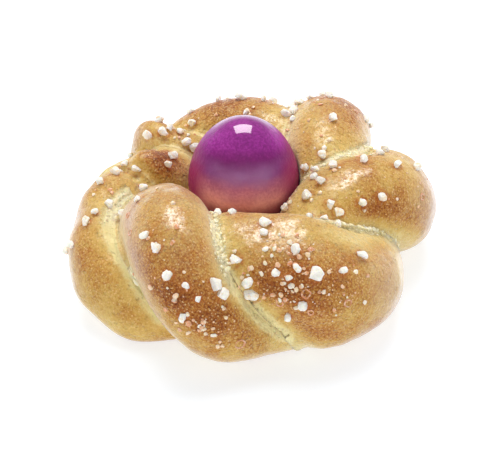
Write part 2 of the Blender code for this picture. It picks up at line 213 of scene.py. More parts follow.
# %% Measures of the egg
EGG_LENGTH = 56.0
EGG_WIDTH = 44.0
EGG_TAPER = 0.12
EGG_LEAN = 13.0
EGG_CENTRE = (3.0, 4.0, 36.5)
EGG_GAP = 0.35
EGG_PLACE = Matrix.Translation(EGG_CENTRE) @ Matrix.Rotation(math.radians(EGG_LEAN), 4, "X")
EGG_TURN = np.array(EGG_PLACE.to_3x3())


def egg_points(u, v):
    """Points on the shell at a height parameter u, from -1 to 1, and a turn v in radians."""
    girth = EGG_WIDTH / 2 * (1 - EGG_TAPER * u) * np.sqrt(1 - u * u)
    local = np.stack([girth * np.cos(v), girth * np.sin(v), EGG_LENGTH / 2 * u], axis=-1)
    return local @ EGG_TURN.T + EGG_CENTRE


def egg_distance(points):
    """Distance of points to the shell, positive outside, good near the shell."""
    local = (points - EGG_CENTRE) @ EGG_TURN
    z = local[..., 2] / (EGG_LENGTH / 2)
    girth = EGG_WIDTH / 2 * (1 - EGG_TAPER * np.clip(z, -1, 1))
    across = np.hypot(local[..., 0], local[..., 1])
    share = np.sqrt((across / girth) ** 2 + z**2) + 1e-9
    slope = np.hypot(across / girth**2, z / (EGG_LENGTH / 2)) / share
    return (share - 1) / slope


SHELL_SAMPLES = 200
shell_u, shell_v = np.meshgrid(
    np.sin(np.linspace(-np.pi / 2, np.pi / 2, SHELL_SAMPLES)), np.linspace(0, 2 * np.pi, SHELL_SAMPLES)
)
shell = egg_points(shell_u, shell_v).reshape(-1, 3)
egg_low, egg_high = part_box("easter_egg")
SHIFT = (Vector(egg_low) + Vector(egg_high)) / 2 - Vector((shell.min(0) + shell.max(0)) / 2) * MM
SHIFT.z = 0.0
print("ring's middle lies at", [round(v / MM, 2) for v in SHIFT], "mm in the frame")

# %% [markdown]
# ## The dough's skin
#
# Dough has no sharp inner corners: where two strands press together they bake into one, and a soft
# valley is left. A Boolean union would leave a hard crease. Instead we ask, for any point, how far it
# is from each strand, and blend those distances. Where the blend is zero, there is the skin.
#
# A strand is filled with balls along its line, so its distance is the smallest distance to a ball. The
# smallest of three neighbouring values is refined with a parabola, which removes the tiny scallops
# between the balls.


# %% Distances and how they blend
def smallest_with_parabola(values):
    """The smallest value of each row, refined between its neighbours, and where it is."""
    i = np.clip(np.argmin(values, axis=1), 1, values.shape[1] - 2)
    row = np.arange(len(values))
    before, middle, after = values[row, i - 1], values[row, i], values[row, i + 1]
    bend = np.maximum(before - 2 * middle + after, 1e-6)
    shift = np.clip((before - after) / (2 * bend), -0.5, 0.5)
    return middle - bend * shift**2 / 2, i + shift


def soft_min(a, b, width):
    """The smaller of two distances, rounded where they are within `width` of each other."""
    h = np.clip(0.5 + 0.5 * (b - a) / width, 0, 1)
    return b + (a - b) * h - width * h * (1 - h)


def soft_max(a, b, width):
    return -soft_min(-a, -b, width)


def smooth_step(x, low, high):
    t = np.clip((x - low) / (high - low), 0, 1)
    return t * t * (3 - 2 * t)


# %% [markdown]
# Three more shapes finish the field: a low collar of dough that has swelled in under the egg, the
# egg's hollow, and the tray, which bakes the underside flat with a rounded edge.

# %% Collar, hollow and tray
COLLAR_INNER, COLLAR_OUTER, COLLAR_HEIGHT, COLLAR_ROUNDING = 6.5, 33.0, 24.0, 6.0
CREASE_LOW, CREASE_HIGH = 1.2, 2.2  # width of the valley near the tray and on top
CREASE_HEIGHTS = (8.0, 34.0)
CORE_BLEND, COLLAR_BLEND, LIP_ROUNDING, BASE_ROUNDING = 2.0, 4.0, 1.6, 3.0


def collar_distance(points):
    across = np.hypot(points[..., 0] - EGG_CENTRE[0], points[..., 1] - EGG_CENTRE[1])
    middle, half = (COLLAR_INNER + COLLAR_OUTER) / 2, (COLLAR_OUTER - COLLAR_INNER) / 2
    sideways = np.abs(across - middle) - half + COLLAR_ROUNDING
    upright = np.abs(points[..., 2] - COLLAR_HEIGHT / 2) - COLLAR_HEIGHT / 2 + COLLAR_ROUNDING
    outside = np.hypot(np.maximum(sideways, 0), np.maximum(upright, 0))
    return outside + np.minimum(np.maximum(sideways, upright), 0) - COLLAR_ROUNDING


def blend_shapes(points, first, second, core):
    """One distance for the whole dough from those to its strands and core."""
    width = CREASE_LOW + (CREASE_HIGH - CREASE_LOW) * smooth_step(points[..., 2], *CREASE_HEIGHTS)
    dough = soft_min(soft_min(first, second, width), core, CORE_BLEND)
    dough = soft_min(dough, collar_distance(points), COLLAR_BLEND)
    dough = soft_max(dough, EGG_GAP - egg_distance(points), LIP_ROUNDING)
    return soft_max(dough, -points[..., 2], BASE_ROUNDING)


print("valleys", CREASE_LOW, "to", CREASE_HIGH, "mm wide")

# %% [markdown]
# Every upright section of the ring can be seen whole from the rope's middle line. So the skin can be
# made as a regular net: stand on the middle line, look in a fan of directions, and walk outwards until
# the distance is zero. Such a net follows the ring all round with even quads, which a voxel remesh
# would not give. The fan is denser on the top and the outer side, where the eye looks.

# %% Stations and directions
STATIONS = 640
DIRECTIONS = 150
STATION_ANGLES = 360.0 * np.arange(STATIONS) / STATIONS
VIEWED = (-50.0, 170.0)  # directions in degrees from outward, through the top
VIEWED_EDGE = 20.0
UNSEEN_DENSITY = 0.35


def fan_of_directions(count):
    """Leans in radians, closer together where the dough is seen."""
    fine = np.linspace(-180, 180, 7200, endpoint=False)
    begun = smooth_step(fine, VIEWED[0] - VIEWED_EDGE, VIEWED[0])
    ended = smooth_step(fine, VIEWED[1] - VIEWED_EDGE, VIEWED[1])
    share = np.cumsum(UNSEEN_DENSITY + (1 - UNSEEN_DENSITY) * begun * (1 - ended))
    return np.radians(np.interp(np.arange(count) / count * share[-1], share, fine))


LEANS = fan_of_directions(DIRECTIONS)
print("net of", STATIONS, "stations by", DIRECTIONS, "directions")

# %% [markdown]
# Walking is quick and safe: each stride is as long as the distance that is left, so it never steps
# through the skin. Close to it, the last two distances tell how fast the distance falls, and a few finer
# strides land on the skin exactly. Mathematicians call these sphere tracing and the secant method.

# %% Walk from the rope's line to the skin
BALL_SPAN = 45  # balls on each side that can shape a section
WALK_STEPS, SECANT_STEPS = 9, 6  # first strides as long as the distance, then a finer search
LONG_STRIDE, STRIDE_BACK, FINE_STRIDE = 8.0, 0.5, 1.5
SLOPES = (0.25, 1.5)  # how fast the distance may grow along a ray


class Section:
    """The fan of rays at one ring angle, with the balls near it."""

    def __init__(self, angle):
        turn = math.radians(angle)
        self.start = strand_at(CORE, angle)[0]
        outward, upward = np.cos(LEANS)[:, None], np.sin(LEANS)[:, None]
        self.rays = outward * (math.cos(turn), math.sin(turn), 0.0) + upward * (0.0, 0.0, 1.0)
        middle = int(round(angle / BALL_STEP))
        self.near = np.arange(middle - BALL_SPAN, middle + BALL_SPAN + 1) % len(BALL_ANGLES)
        self.parts = []
        for centres, radii in CHAINS:
            offset = self.start - centres[self.near]
            self.parts.append((2 * self.rays @ offset.T, np.sum(offset**2, axis=1), radii[self.near]))

    def distances(self, t):
        """Distance to each chain at t along each ray, and the nearest ball's place."""
        found = []
        for along, apart, radii in self.parts:
            squared = apart + t[:, None] * along + (t * t)[:, None]
            found.append(smallest_with_parabola(np.sqrt(np.maximum(squared, 0)) - radii))
        return found

    def field(self, t):
        (first, _), (second, _), (core, _) = self.distances(t)
        return blend_shapes(self.start + t[:, None] * self.rays, first, second, core)

    def skin(self):
        t = np.full(len(LEANS), 1.0)
        for _ in range(WALK_STEPS):
            before, t_before = self.field(t), t
            t = t + np.clip(-before, -STRIDE_BACK, LONG_STRIDE)
        for _ in range(SECANT_STEPS):
            now = self.field(t)
            run = np.where(np.abs(t - t_before) < 1e-7, 1e-7, t - t_before)
            slope = np.clip((now - before) / run, *SLOPES)
            before, t_before = now, t
            t = t - np.clip(now / slope, -FINE_STRIDE, FINE_STRIDE)
        return t


def wrap_net():
    """The skin's points and, for each, the distances and nearest balls of the two strands."""
    found = []
    for angle in STATION_ANGLES:
        section = Section(angle)
        t = section.skin()
        (first, first_ball), (second, second_ball), _ = section.distances(t)
        points = section.start + t[:, None] * section.rays
        low = section.near[0] * BALL_STEP
        found.append((points, first, second, low + first_ball * BALL_STEP, low + second_ball * BALL_STEP))
    return [np.array(column) for column in zip(*found)]


skin, to_first, to_second, first_angle, second_angle = wrap_net()
print("skin net", skin.shape, "height", skin[..., 2].max().round(1), "mm")

# %% [markdown]
# ## Where on the twist is a point?
#
# Bakers see a lobe as one thing, with a crest, two ends and an outer side. Colour, wrinkles and sugar
# all follow it. So every point of the skin learns which strand it belongs to, how far along its lobe
# it lies (0 at the crest), how far it leans over to the outer side, and how far the valley is.

# %% Lobe coordinates of the skin
own_strand = (to_second < to_first).astype(int)
own_angle = np.where(own_strand == 1, second_angle, first_angle)
phase = lobe_number(own_angle)
lobe_of_point = 2 * np.round((phase - own_strand) / 2).astype(int) + own_strand
along = phase - lobe_of_point
lobe_of_point %= LOBE_COUNT
from_valley = np.abs(to_first - to_second)
print("points per lobe:", dict(zip(NAMES, np.bincount(lobe_of_point.ravel(), minlength=LOBE_COUNT))))

# %% [markdown]
# A normal points straight out of a surface. Blender works normals out for a mesh, but we need them
# before there is one, so we take them from the net's two directions. The lean tells how far a point
# sits over to the side of its own strand: 0 degrees on top, 90 at the outer side.


# %% Normals and leans
def net_normals(points):
    """Outward normals of a net that closes both ways."""
    round_ring = np.roll(points, -1, 0) - np.roll(points, 1, 0)
    round_rope = np.roll(points, -1, 1) - np.roll(points, 1, 1)
    normals = np.cross(round_ring, round_rope)
    normals /= np.linalg.norm(normals, axis=-1, keepdims=True) + 1e-12
    middle = strand_at(CORE, STATION_ANGLES)[0][:, None]
    inward = np.sum(normals * (points - middle), axis=-1).mean() < 0
    return -normals if inward else normals


def lean_on_strand(points):
    """Degrees from the top of a point's own strand over to its outer side."""
    on_second = (own_strand == 1)[..., None]
    out = points - np.where(on_second, strand_at(1, own_angle)[0], strand_at(0, own_angle)[0])
    turn = np.radians(own_angle)
    outward = np.stack([np.cos(turn), np.sin(turn)], axis=-1)
    return np.degrees(np.arctan2(np.sum(out[..., :2] * outward, axis=-1), out[..., 2]))


across = lean_on_strand(skin)
normals = net_normals(skin)
print("leans from", across.min().round(), "to", across.max().round(), "degrees")

# %% [markdown]
# Soft dough also settles as it proves: here it leans on its neighbour and spreads a little over the
# tray, there it has been pinched in by a thumb. A sculpting brush could shape that too, but numbers can
# be read, changed and repeated. The first list works on the outer side of the ring: each swell or dent
# has a ring angle and a height, and fades out smoothly round it.

# %% Swells and dents of the outer side
Settling = namedtuple("Settling", "angle spread height rise push")
SETTLINGS = [Settling(*row) for row in (
    (293, 9, 7, 8, 5.0), (304, 9, 6, 8, 1.6), (262, 16, 6, 8, 1.5), (233, 9, 6, 8, 2.8),
    (214, 9, 10, 9, 2.6), (192, 9, 32, 14, -3.4), (356, 8, 12, 10, 0.8), (9, 9, 34, 12, -2.6),
    (141, 5, 27, 10, -3.4), (131, 6, 33, 9, 4.0), (165, 7, 31, 9, 2.2),
)]
OUTER_SIDE = (-6.0, 4.0)  # millimetres out from the rope's own line, where the outer side begins

station_angles = STATION_ANGLES[:, None]
outward_reach = np.hypot(skin[..., 0], skin[..., 1]) - ring_radius(station_angles)
outer_side = smooth_step(outward_reach, *OUTER_SIDE)
settled = np.zeros(skin.shape[:2])
for swell in SETTLINGS:
    turned = (station_angles - swell.angle + 180.0) % 360.0 - 180.0
    rise = (skin[..., 2] - swell.height) / swell.rise
    settled += swell.push * np.exp(-((turned / swell.spread) ** 2) - rise**2) * outer_side
print("outer side settled by", settled.min().round(1), "to", settled.max().round(1), "mm")

# %% [markdown]
# The second list pushes at a place, as if a ball of that size lay under the skin. It lifts the far
# edge of the front dough towards its neighbour and rounds the small knob at the left.

# %% Swells and dents at a place
Swell = namedtuple("Swell", "angle reach height size push")
SWELLS = [Swell(*row) for row in (
    (282, 38, 44, 8, 1.0), (291, 44, 46, 8, 2.2), (300, 49, 46, 8, 3.2), (311, 55, 43, 9, 3.0),
    (158, 36, 35, 8, 3.0), (158, 41, 35, 5, 1.8), (152, 47, 35, 3.4, -1.6), (159, 47, 35, 3.4, -2.0),
    (167, 45, 35, 3.4, -2.4), (173, 41, 35, 3.4, -2.4), (177, 36, 33, 3.4, -2.2),
)]
STIFF_AT_EGG = (0.2, 2.5)  # millimetres from the shell, within which nothing settles


def place_on_ring(angle, reach, height):
    """A point from its ring angle, its reach from the middle and its height."""
    turn = math.radians(angle)
    return np.array((reach * math.cos(turn), reach * math.sin(turn), height))


def ball_round(middle, size):
    """1 at a place, fading out over about `size` millimetres."""
    return np.exp(-np.sum((skin - middle) ** 2, axis=-1) / size**2)


for swell in SWELLS:
    settled += swell.push * ball_round(place_on_ring(swell.angle, swell.reach, swell.height), swell.size)
settled *= smooth_step(egg_distance(skin), *STIFF_AT_EGG)
skin = skin + normals * settled[..., None]
skin[..., 2] = np.maximum(skin[..., 2], 0.0)
normals = net_normals(skin)
print("settled by", settled.min().round(1), "to", settled.max().round(1), "mm")

# %% [markdown]
# ## Relief of the crust
#
# Proofed dough is never smooth. It has broad soft swellings, a fine orange-skin grain, and, beside the
# valleys, stretched wrinkles where the strands rose against each other. We push the skin in and out
# along its normals by noise. Noise is smooth and never repeats, so it looks grown. A Displace modifier
# could do it too, but here each kind of relief keeps to its own part of the bread.

# %% Soft noise
SEED_STRIDE = 31.7  # moves each seed to another part of the noise


def lumps(points, size, seed):
    """Soft noise from -1 to 1 with bumps of about `size` millimetres."""
    flat = (points.reshape(-1, 3) / size + SEED_STRIDE * seed).tolist()
    return np.array([noise.noise(p) for p in flat]).reshape(points.shape[:-1])


print("a sample of noise:", lumps(skin[:1, :5], 20.0, 1).round(2))

# %% [markdown]
# Each valley from one lobe to the next has its own character. Its pale dough lies a little to one side
# and is some millimetres wide. Its folds are weak or strong. It may be torn open or cracked, a thin lip
# of skin may stand up beside it, and soft dough fills its bottom. A stretch of a valley is counted from
# 0 at its inner end to 1 at its outer end.

# %% Measures of the valleys
Valley = namedtuple("Valley", "side ribbon folds torn crack lip lip_span filling")
NOWHERE = (3.0, 4.0)
VALLEYS = [Valley(*row) for row in (
    (1.2, 4.2, 0.8, (-0.2, 0.64), (0.60, 1.3), 0.0, NOWHERE, 0.9),
    (0.6, 3.0, 0.8, (0.15, 1.2), NOWHERE, 2.4, (0.0, 1.0), 3.6),
    (-1.0, 2.8, 0.6, (0.3, 0.9), NOWHERE, 0.0, NOWHERE, 0.8),
    (-0.5, 2.4, 0.4, NOWHERE, NOWHERE, 0.0, NOWHERE, 0.7),
    (0.0, 2.0, 0.4, NOWHERE, NOWHERE, 0.0, NOWHERE, 0.7),
    (0.0, 1.8, 0.3, NOWHERE, NOWHERE, 0.0, NOWHERE, 0.7),
    (0.5, 2.4, 0.4, NOWHERE, NOWHERE, 0.0, NOWHERE, 0.7),
    (3.0, 4.6, 1.5, (0.0, 0.5), NOWHERE, -1.4, (-0.1, 0.45), 0.7),
)]
STRETCH_EDGE = 0.06

valley_of_point = np.where(along > 0, lobe_of_point, (lobe_of_point - 1) % LOBE_COUNT)
station_number = lobe_number(STATION_ANGLES)[:, None]
way = (station_number - valley_of_point + 2) % LOBE_COUNT - 2  # along the valley, 0 to 1
rift = to_first - to_second  # millimetres across the valley, negative on the first strand
to_earlier = np.where(valley_of_point % 2 == 0, -rift, rift)  # positive on the valley's earlier lobe


def per_valley(measure):
    """A measure of the valley that each point of the skin is nearest to."""
    return np.array([getattr(v, measure) for v in VALLEYS])[valley_of_point]


def on_stretch(measure):
    """1 where a point lies inside its valley's stretch, fading at both ends."""
    start, end = np.moveaxis(per_valley(measure), -1, 0)
    begun = smooth_step(way, start - STRETCH_EDGE, start + STRETCH_EDGE)
    return begun * (1 - smooth_step(way, end - STRETCH_EDGE, end + STRETCH_EDGE))


def beside_valley(side, width):
    """1 along a line beside the valley, fading out over its width in millimetres."""
    return np.exp(-(((to_earlier - side) / width) ** 2))


torn, cracked = on_stretch("torn"), on_stretch("crack")
print("torn:", int((torn > 0.5).sum()), "points, cracked:", int((cracked > 0.5).sum()), "points")

# %% [markdown]
# Beside a valley the noise is read in stretched coordinates, one across the valley and one along it, so
# its bumps turn into folds that run along. The lip is a narrow ridge that waves a little. The filling
# is a rounded bead of soft dough, thinner where the valley turns down to the tray.

# %% Folds, lips and fillings
FOLD_WIDTH, FOLD_LENGTH = 1.5, 7.0
FOLD_REACH = 5.0  # millimetres from the valley, in difference of distance
LIP_WIDTH, LIP_LEAST, LIP_WAVES, LIP_WAVE_SIZE = 0.9, 0.7, 0.6, 5.0
THIN_FILLING, THINNING = 0.7, (0.6, 0.95)  # the least depth, and where along the valley it gets there
BEAD_WIDTH, BEAD_GROWTH, CRACK_LOSS = 1.2, 0.4, 0.6

station_run = np.radians(station_angles) * ring_radius(own_angle)
fold_place = np.stack([rift / FOLD_WIDTH, station_run / FOLD_LENGTH, skin[..., 2] / FOLD_LENGTH], axis=-1)
folds = lumps(fold_place, 1.0, 4)
lips = beside_valley(per_valley("lip"), LIP_WIDTH) * on_stretch("lip_span")
lips *= LIP_LEAST + LIP_WAVES * lumps(skin, LIP_WAVE_SIZE, 5)
filling = THIN_FILLING + (per_valley("filling") - THIN_FILLING) * (1 - smooth_step(way, *THINNING))
bead = np.exp(-((rift / (BEAD_WIDTH + BEAD_GROWTH * filling)) ** 2))
filled = filling * bead * (1 - CRACK_LOSS * cracked)
print("filled by up to", filled.max().round(1), "mm")

# %% [markdown]
# Now the reliefs are added up and push each point along its normal. Broad swellings are the deepest,
# the grain is the finest. Where the dough meets the egg or the tray it was pressed smooth, so the
# relief fades out there.

# %% Push the skin in and out
BROAD_SIZE, BROAD_DEPTH = 20.0, 0.8
SOFT_SIZE, SOFT_DEPTH = 6.5, 0.30
GRAIN_SIZE, GRAIN_DEPTH = 2.4, 0.12
FOLD_DEPTH, LIP_HEIGHT = 0.9, 0.8
SMOOTH_AT_EGG, SMOOTH_AT_TRAY = (0.4, 4.0), (0.3, 4.0)  # millimetres over which the relief fades out

relief = (
    BROAD_DEPTH * lumps(skin, BROAD_SIZE, 1)
    + SOFT_DEPTH * lumps(skin, SOFT_SIZE, 2)
    + GRAIN_DEPTH * lumps(skin, GRAIN_SIZE, 3)
    + FOLD_DEPTH * folds * beside_valley(per_valley("side"), FOLD_REACH) * per_valley("folds")
    + LIP_HEIGHT * lips
    + filled
)
relief *= smooth_step(egg_distance(skin), *SMOOTH_AT_EGG) * smooth_step(skin[..., 2], *SMOOTH_AT_TRAY)
crust = skin + normals * relief[..., None]
crust[..., 2] = np.maximum(crust[..., 2], 0.0)
print("relief from", relief.min().round(2), "to", relief.max().round(2), "mm")

# %% [markdown]
# ## Browning
#
# Browning follows the heat: the tops of the lobes catch most of it, the valleys and the foot stay pale.
# Some places caught more or less, so each lobe has patches of its own: where they lie on it, how far
# they reach and how much browner they are. We store the sum as a number per point, so that the material
# can read it and add finer detail of its own.

# %% How brown each point is
Patch = namedtuple("Patch", "along across length width brown")
BROWNED = {
    # The last front_left patch, far over on the outer side, is painted pale as a reflection of the white
    # room.
    "front_left": ((0.40, 66, 0.30, 30, 0.34), (0.05, 40, 0.25, 30, -0.10), (0.08, 94, 0.30, 15, -0.30)),
    "front_right": (
        (0.12, 64, 0.30, 30, 0.38), (0.05, 15, 0.20, 14, -0.06), (0.20, 120, 0.40, 22, 0.28),
        (0.40, 4, 0.20, 14, -0.34), (0.66, 62, 0.07, 34, -0.40), (0.48, 74, 0.14, 40, -0.12),
    ),
    "right": (
        (0.02, 60, 0.24, 22, 0.28), (0.34, 28, 0.22, 26, -0.13), (-0.25, -10, 0.22, 40, -0.08),
        (0.40, 96, 0.40, 22, 0.12),
    ),
    "back_right": ((-0.15, -18, 0.25, 25, -0.08), (0.20, 30, 0.30, 40, 0.16)),
    "back": ((0.25, 20, 0.30, 30, 0.14), (0.45, -30, 0.20, 25, 0.16)),
    "back_left": ((-0.10, 40, 0.30, 40, 0.10),),
    "left": ((-0.04, -14, 0.24, 30, 0.30),),
    "outer_left": ((0.50, 95, 0.35, 20, -0.10), (0.25, 0, 0.25, 25, -0.10)),
}
PALEST, HEAT, SIDE_LOSS = 0.12, 0.36, 0.45
HOT_LEAN, COOL_AFTER = 25.0, 110.0  # degrees over to the outer side
HEAT_RISE, PATCH_RISE = (0.5, 13.0), (0.5, 8.0)  # millimetres away from the valley
UNEVEN = 0.10


def spot_on_lobe(name, along_crest, lean, length, width):
    """1 at a place on one lobe, fading out along it and across it."""
    away = ((along - along_crest) / length) ** 2 + ((across - lean) / width) ** 2
    return np.where(lobe_of_point == NAMES.index(name), np.exp(-away), 0)


from_hot = np.clip(np.abs(across - HOT_LEAN) / COOL_AFTER, 0, 1)
bake = PALEST + HEAT * smooth_step(from_valley, *HEAT_RISE) * (1 - SIDE_LOSS * from_hot**2)
for name in NAMES:
    for patch in (Patch(*row) for row in BROWNED[name]):
        spot = spot_on_lobe(name, patch.along, patch.across, patch.length, patch.width)
        bake += patch.brown * spot * smooth_step(from_valley, *PATCH_RISE)
bake += UNEVEN * lumps(skin, 24.0, 7) + UNEVEN * lumps(skin, 9.0, 8)
bake = np.clip(bake, 0, 1)
print("bake from", bake.min().round(2), "to", bake.max().round(2))

# %% [markdown]
# Pale dough lies along each valley as a soft ribbon. The small knob at the left stood out into the
# heat and browned all over, so it is coloured by its place, and the ribbons stop short of it.

# %% Pale ribbons and the brown knob
KNOB = place_on_ring(158, 35.0, 36.0)
KNOB_SIZE, KNOB_BROWN, KNOB_COVER = 8.5, 0.22, 0.9
RIBBON_RISE = (4.0, 12.0)  # millimetres above the tray

knob = ball_round(KNOB, KNOB_SIZE)
bake = np.clip(bake + KNOB_BROWN * knob, 0, 1)
valley = beside_valley(per_valley("side"), per_valley("ribbon"))
valley *= 1 - KNOB_COVER * knob
valley *= smooth_step(crust[..., 2], *RIBBON_RISE)
print("ribbon points:", int((valley > 0.5).sum()))

# %% [markdown]
# ## From a net to a mesh
#
# The net closes round the ring and round the rope, so each station and each direction is joined to the
# next, and the last to the first. All four corners are known, which makes clean quads.


# %% Build the bread
def link(obj):
    bpy.context.scene.collection.objects.link(obj)
    return obj


def net_object(name, points, close_ends=True):
    """A mesh from a net of points in millimetres; close_ends joins the last row to the first."""
    rows, columns = points.shape[:2]
    index = np.arange(rows * columns).reshape(rows, columns)
    nxt = np.roll(index, -1, 0) if close_ends else index[1:]
    here = index if close_ends else index[:-1]
    quads = np.stack([here, nxt, np.roll(nxt, -1, 1), np.roll(here, -1, 1)], axis=-1).reshape(-1, 4)
    mesh = bpy.data.meshes.new(name)
    mesh.from_pydata((points.reshape(-1, 3) * MM).tolist(), [], quads.tolist())
    mesh.update()
    return link(bpy.data.objects.new(name, mesh))


def point_up(obj):
    """Turn all faces outwards and shade them smoothly."""
    bm = bmesh.new()
    bm.from_mesh(obj.data)
    bmesh.ops.recalc_face_normals(bm, faces=bm.faces)
    bm.to_mesh(obj.data)
    bm.free()
    obj.data.shade_smooth()


bread = net_object("bread", crust)
point_up(bread)
bread.location = SHIFT
print("bread:", len(bread.data.polygons), "quads")

# %% [markdown]
# ## Numbers for the material
#
# A material can't know where a valley or a lip is, so each point of the mesh carries a few numbers that
# the nodes will read. Egg wash is brushed on from above, so its film is thick where the dough faces up,
# and each lobe got its own share: one got it all in one spot. Upright rims shine where one looks along
# them. Steep flanks are painted pale as a reflection of the white room, and the foot is painted dark
# as shade where it meets the tray. Vertex Paint could store the same by hand, but a rule covers every
# side at once.

# %% Paint the bread
FILM = {  # share of the wash on a lobe, where it isn't 1
    "front_left": 1.5, "right": 0.2, "back_right": 0.65, "back": 0.6, "back_left": 0.5, "left": 0.25,
    "outer_left": 0.25,
}
POLISHED, POLISH = ("right", -0.03, 11.0, 0.13, 10.0), 1.3  # a spot as above, and how much more it took
FACING_UP, UPRIGHT, FLANK = (0.45, 0.92), (0.35, 0.75), (0.55, 0.92)  # parts of a normal of length 1
FLANK_RISE, FOOT_FALL = (6.0, 16.0), (0.3, 3.0)  # millimetres above the tray
VALLEY_LOSS, TOP_LOSS = 0.6, 0.8  # of the film in the valleys, and of the rim's shine on top


def paint(obj, name, values):
    """Store one number per point for the material."""
    layer = obj.data.attributes.new(name, "FLOAT", "POINT")
    layer.data.foreach_set("value", np.asarray(values, dtype=np.float32).ravel())


wash = np.array([FILM.get(name, 1.0) for name in NAMES])[lobe_of_point]
wash = wash + POLISH * spot_on_lobe(*POLISHED)
# Steep sides get a pale tint as a painted reflection of the white room.
flank = smooth_step(np.abs(normals[..., 0]), *FLANK) * smooth_step(crust[..., 2], *FLANK_RISE)
PAINTED = {
    "bake": bake,
    "valley": valley,
    "rift": rift,
    "film": smooth_step(normals[..., 2], *FACING_UP) * (1 - VALLEY_LOSS * valley) * wash,
    "upright": 1 - TOP_LOSS * smooth_step(normals[..., 2], *UPRIGHT),
    "side_reflection": flank,
    # Painted shade where the foot meets the tray.
    "foot_shade": 1 - smooth_step(crust[..., 2], *FOOT_FALL),
    "torn": torn,
    "lip": lips,
    "cracked": cracked,
}
for name, values in PAINTED.items():
    paint(bread, name, values)
print("painted:", ", ".join(PAINTED))

# %% [markdown]
# ## Nodes in few words
#
# Materials are made of nodes. These helpers make and join them, so that the cells below can say what a
# finish is rather than where its wires go.


# %% Node helpers
class Recipe:
    """A material and short ways to add nodes to it."""

    def __init__(self, name):
        self.material = bpy.data.materials.new(name)
        self.material.use_nodes = True
        self.tree = self.material.node_tree
        self.shader = self.tree.nodes["Principled BSDF"]
        self.place = self.add("TexCoord").outputs["Object"]

    def add(self, kind, **settings):
        made = self.tree.nodes.new("ShaderNode" + kind)
        for name, value in settings.items():
            setattr(made, name, value)
        return made

    def feed(self, socket, value):
        if isinstance(value, bpy.types.NodeSocket):
            self.tree.links.new(value, socket)
        else:
            socket.default_value = value

    def grain(self, size, detail=2.0, rough=0.5):
        """Noise from 0 to 1 with bumps of `size` millimetres."""
        made = self.add("TexNoise")
        self.feed(made.inputs["Vector"], self.place)
        made.inputs["Scale"].default_value = 1 / (size * MM)
        made.inputs["Detail"].default_value = detail
        made.inputs["Roughness"].default_value = rough
        return made.outputs["Fac"]

    def cells(self, size):
        """Distance to the middle of cells of `size` millimetres: 0 in the middle."""
        made = self.add("TexVoronoi")
        self.feed(made.inputs["Vector"], self.place)
        made.inputs["Scale"].default_value = 1 / (size * MM)
        return made.outputs["Distance"]

    def painted(self, name):
        """A number that was painted on the mesh."""
        return self.add("Attribute", attribute_name=name).outputs["Fac"]

    def maths(self, operation, a, b=0.0, clamp=False):
        made = self.add("Math", operation=operation, use_clamp=clamp)
        self.feed(made.inputs[0], a)
        self.feed(made.inputs[1], b)
        return made.outputs[0]

    def plus(self, a, b, clamp=False):
        return self.maths("ADD", a, b, clamp)

    def times(self, a, b):
        return self.maths("MULTIPLY", a, b)

    def stir(self, value, noise_fac, amount, clamp=False):
        """A value made uneven by noise, up to half of `amount` either way."""
        return self.plus(value, self.times(self.maths("SUBTRACT", noise_fac, 0.5), amount), clamp)

    def fade(self, value, low, high, to_low=0.0, to_high=1.0):
        """A smooth step: to_low where the value is `low`, to_high where it is `high`."""
        made = self.add("MapRange", interpolation_type="SMOOTHSTEP")
        self.feed(made.inputs["Value"], value)
        for socket, number in zip(("From Min", "From Max", "To Min", "To Max"), (low, high, to_low, to_high)):
            made.inputs[socket].default_value = number
        return made.outputs["Result"]

    def mix(self, share, first, second):
        """The first colour, with a share of the second in it."""
        made = self.add("Mix", data_type="RGBA")
        self.feed(made.inputs["Factor"], share)
        self.feed(made.inputs[6], first)
        self.feed(made.inputs[7], second)
        return made.outputs[2]

    def ramp(self, value, *stops):
        """Colours along a value, each stop a position and a colour."""
        made = self.add("ValToRGB")
        self.feed(made.inputs["Fac"], value)
        set_stops(made.color_ramp, stops)
        return made.outputs["Color"]

    def bump(self, height, depth, under=None):
        """Small relief, `depth` millimetres for a height from 0 to 1."""
        made = self.add("Bump")
        made.inputs["Distance"].default_value = depth * MM
        self.feed(made.inputs["Height"], height)
        if under is not None:
            self.feed(made.inputs["Normal"], under)
        return made.outputs["Normal"]

    def set(self, **values):
        """Set the shader's own sockets by name."""
        for name, value in values.items():
            self.feed(self.shader.inputs[name.replace("_", " ")], value)

    def give_to(self, obj):
        obj.data.materials.append(self.material)
        print(self.material.name + ":", len(self.tree.nodes), "nodes")


def set_stops(colour_ramp, stops):
    while len(colour_ramp.elements) < len(stops):
        colour_ramp.elements.new(0.5)
    for element, (position, colour) in zip(colour_ramp.elements, stops):
        element.position = position
        element.color = colour


def srgb(red, green, blue):
    """A colour as picture editors give it, 0 to 255, in the linear numbers that Blender wants."""
    def linear(v):
        v /= 255.0
        return v / 12.92 if v <= 0.04045 else ((v + 0.055) / 1.055) ** 2.4
    return (linear(red), linear(green), linear(blue), 1.0)


print("chestnut in linear numbers:", [round(v, 3) for v in srgb(156, 86, 34)])

# %% [markdown]
# ## The crust's finish
#
# Egg wash turns to a thin glossy film over dough that goes from cream in the valleys through gold to
# chestnut on the crests. One flat brown would look like plastic. So the painted bake is stirred by noise
# of two sizes and read through a ramp of colours, and tiny pale specks and dark pits break it up. The pale
# specks are partly blisters and partly painted glints. The browner the skin, the more speckled it is.

# %% Colour of the crust
CREAM, STRAW = srgb(242, 220, 154), srgb(228, 194, 112)
GOLD, AMBER = srgb(210, 164, 84), srgb(190, 126, 56)
CHESTNUT, BROWN = srgb(156, 86, 34), srgb(116, 56, 22)
SPECK_AND_GLINT = srgb(242, 208, 146)

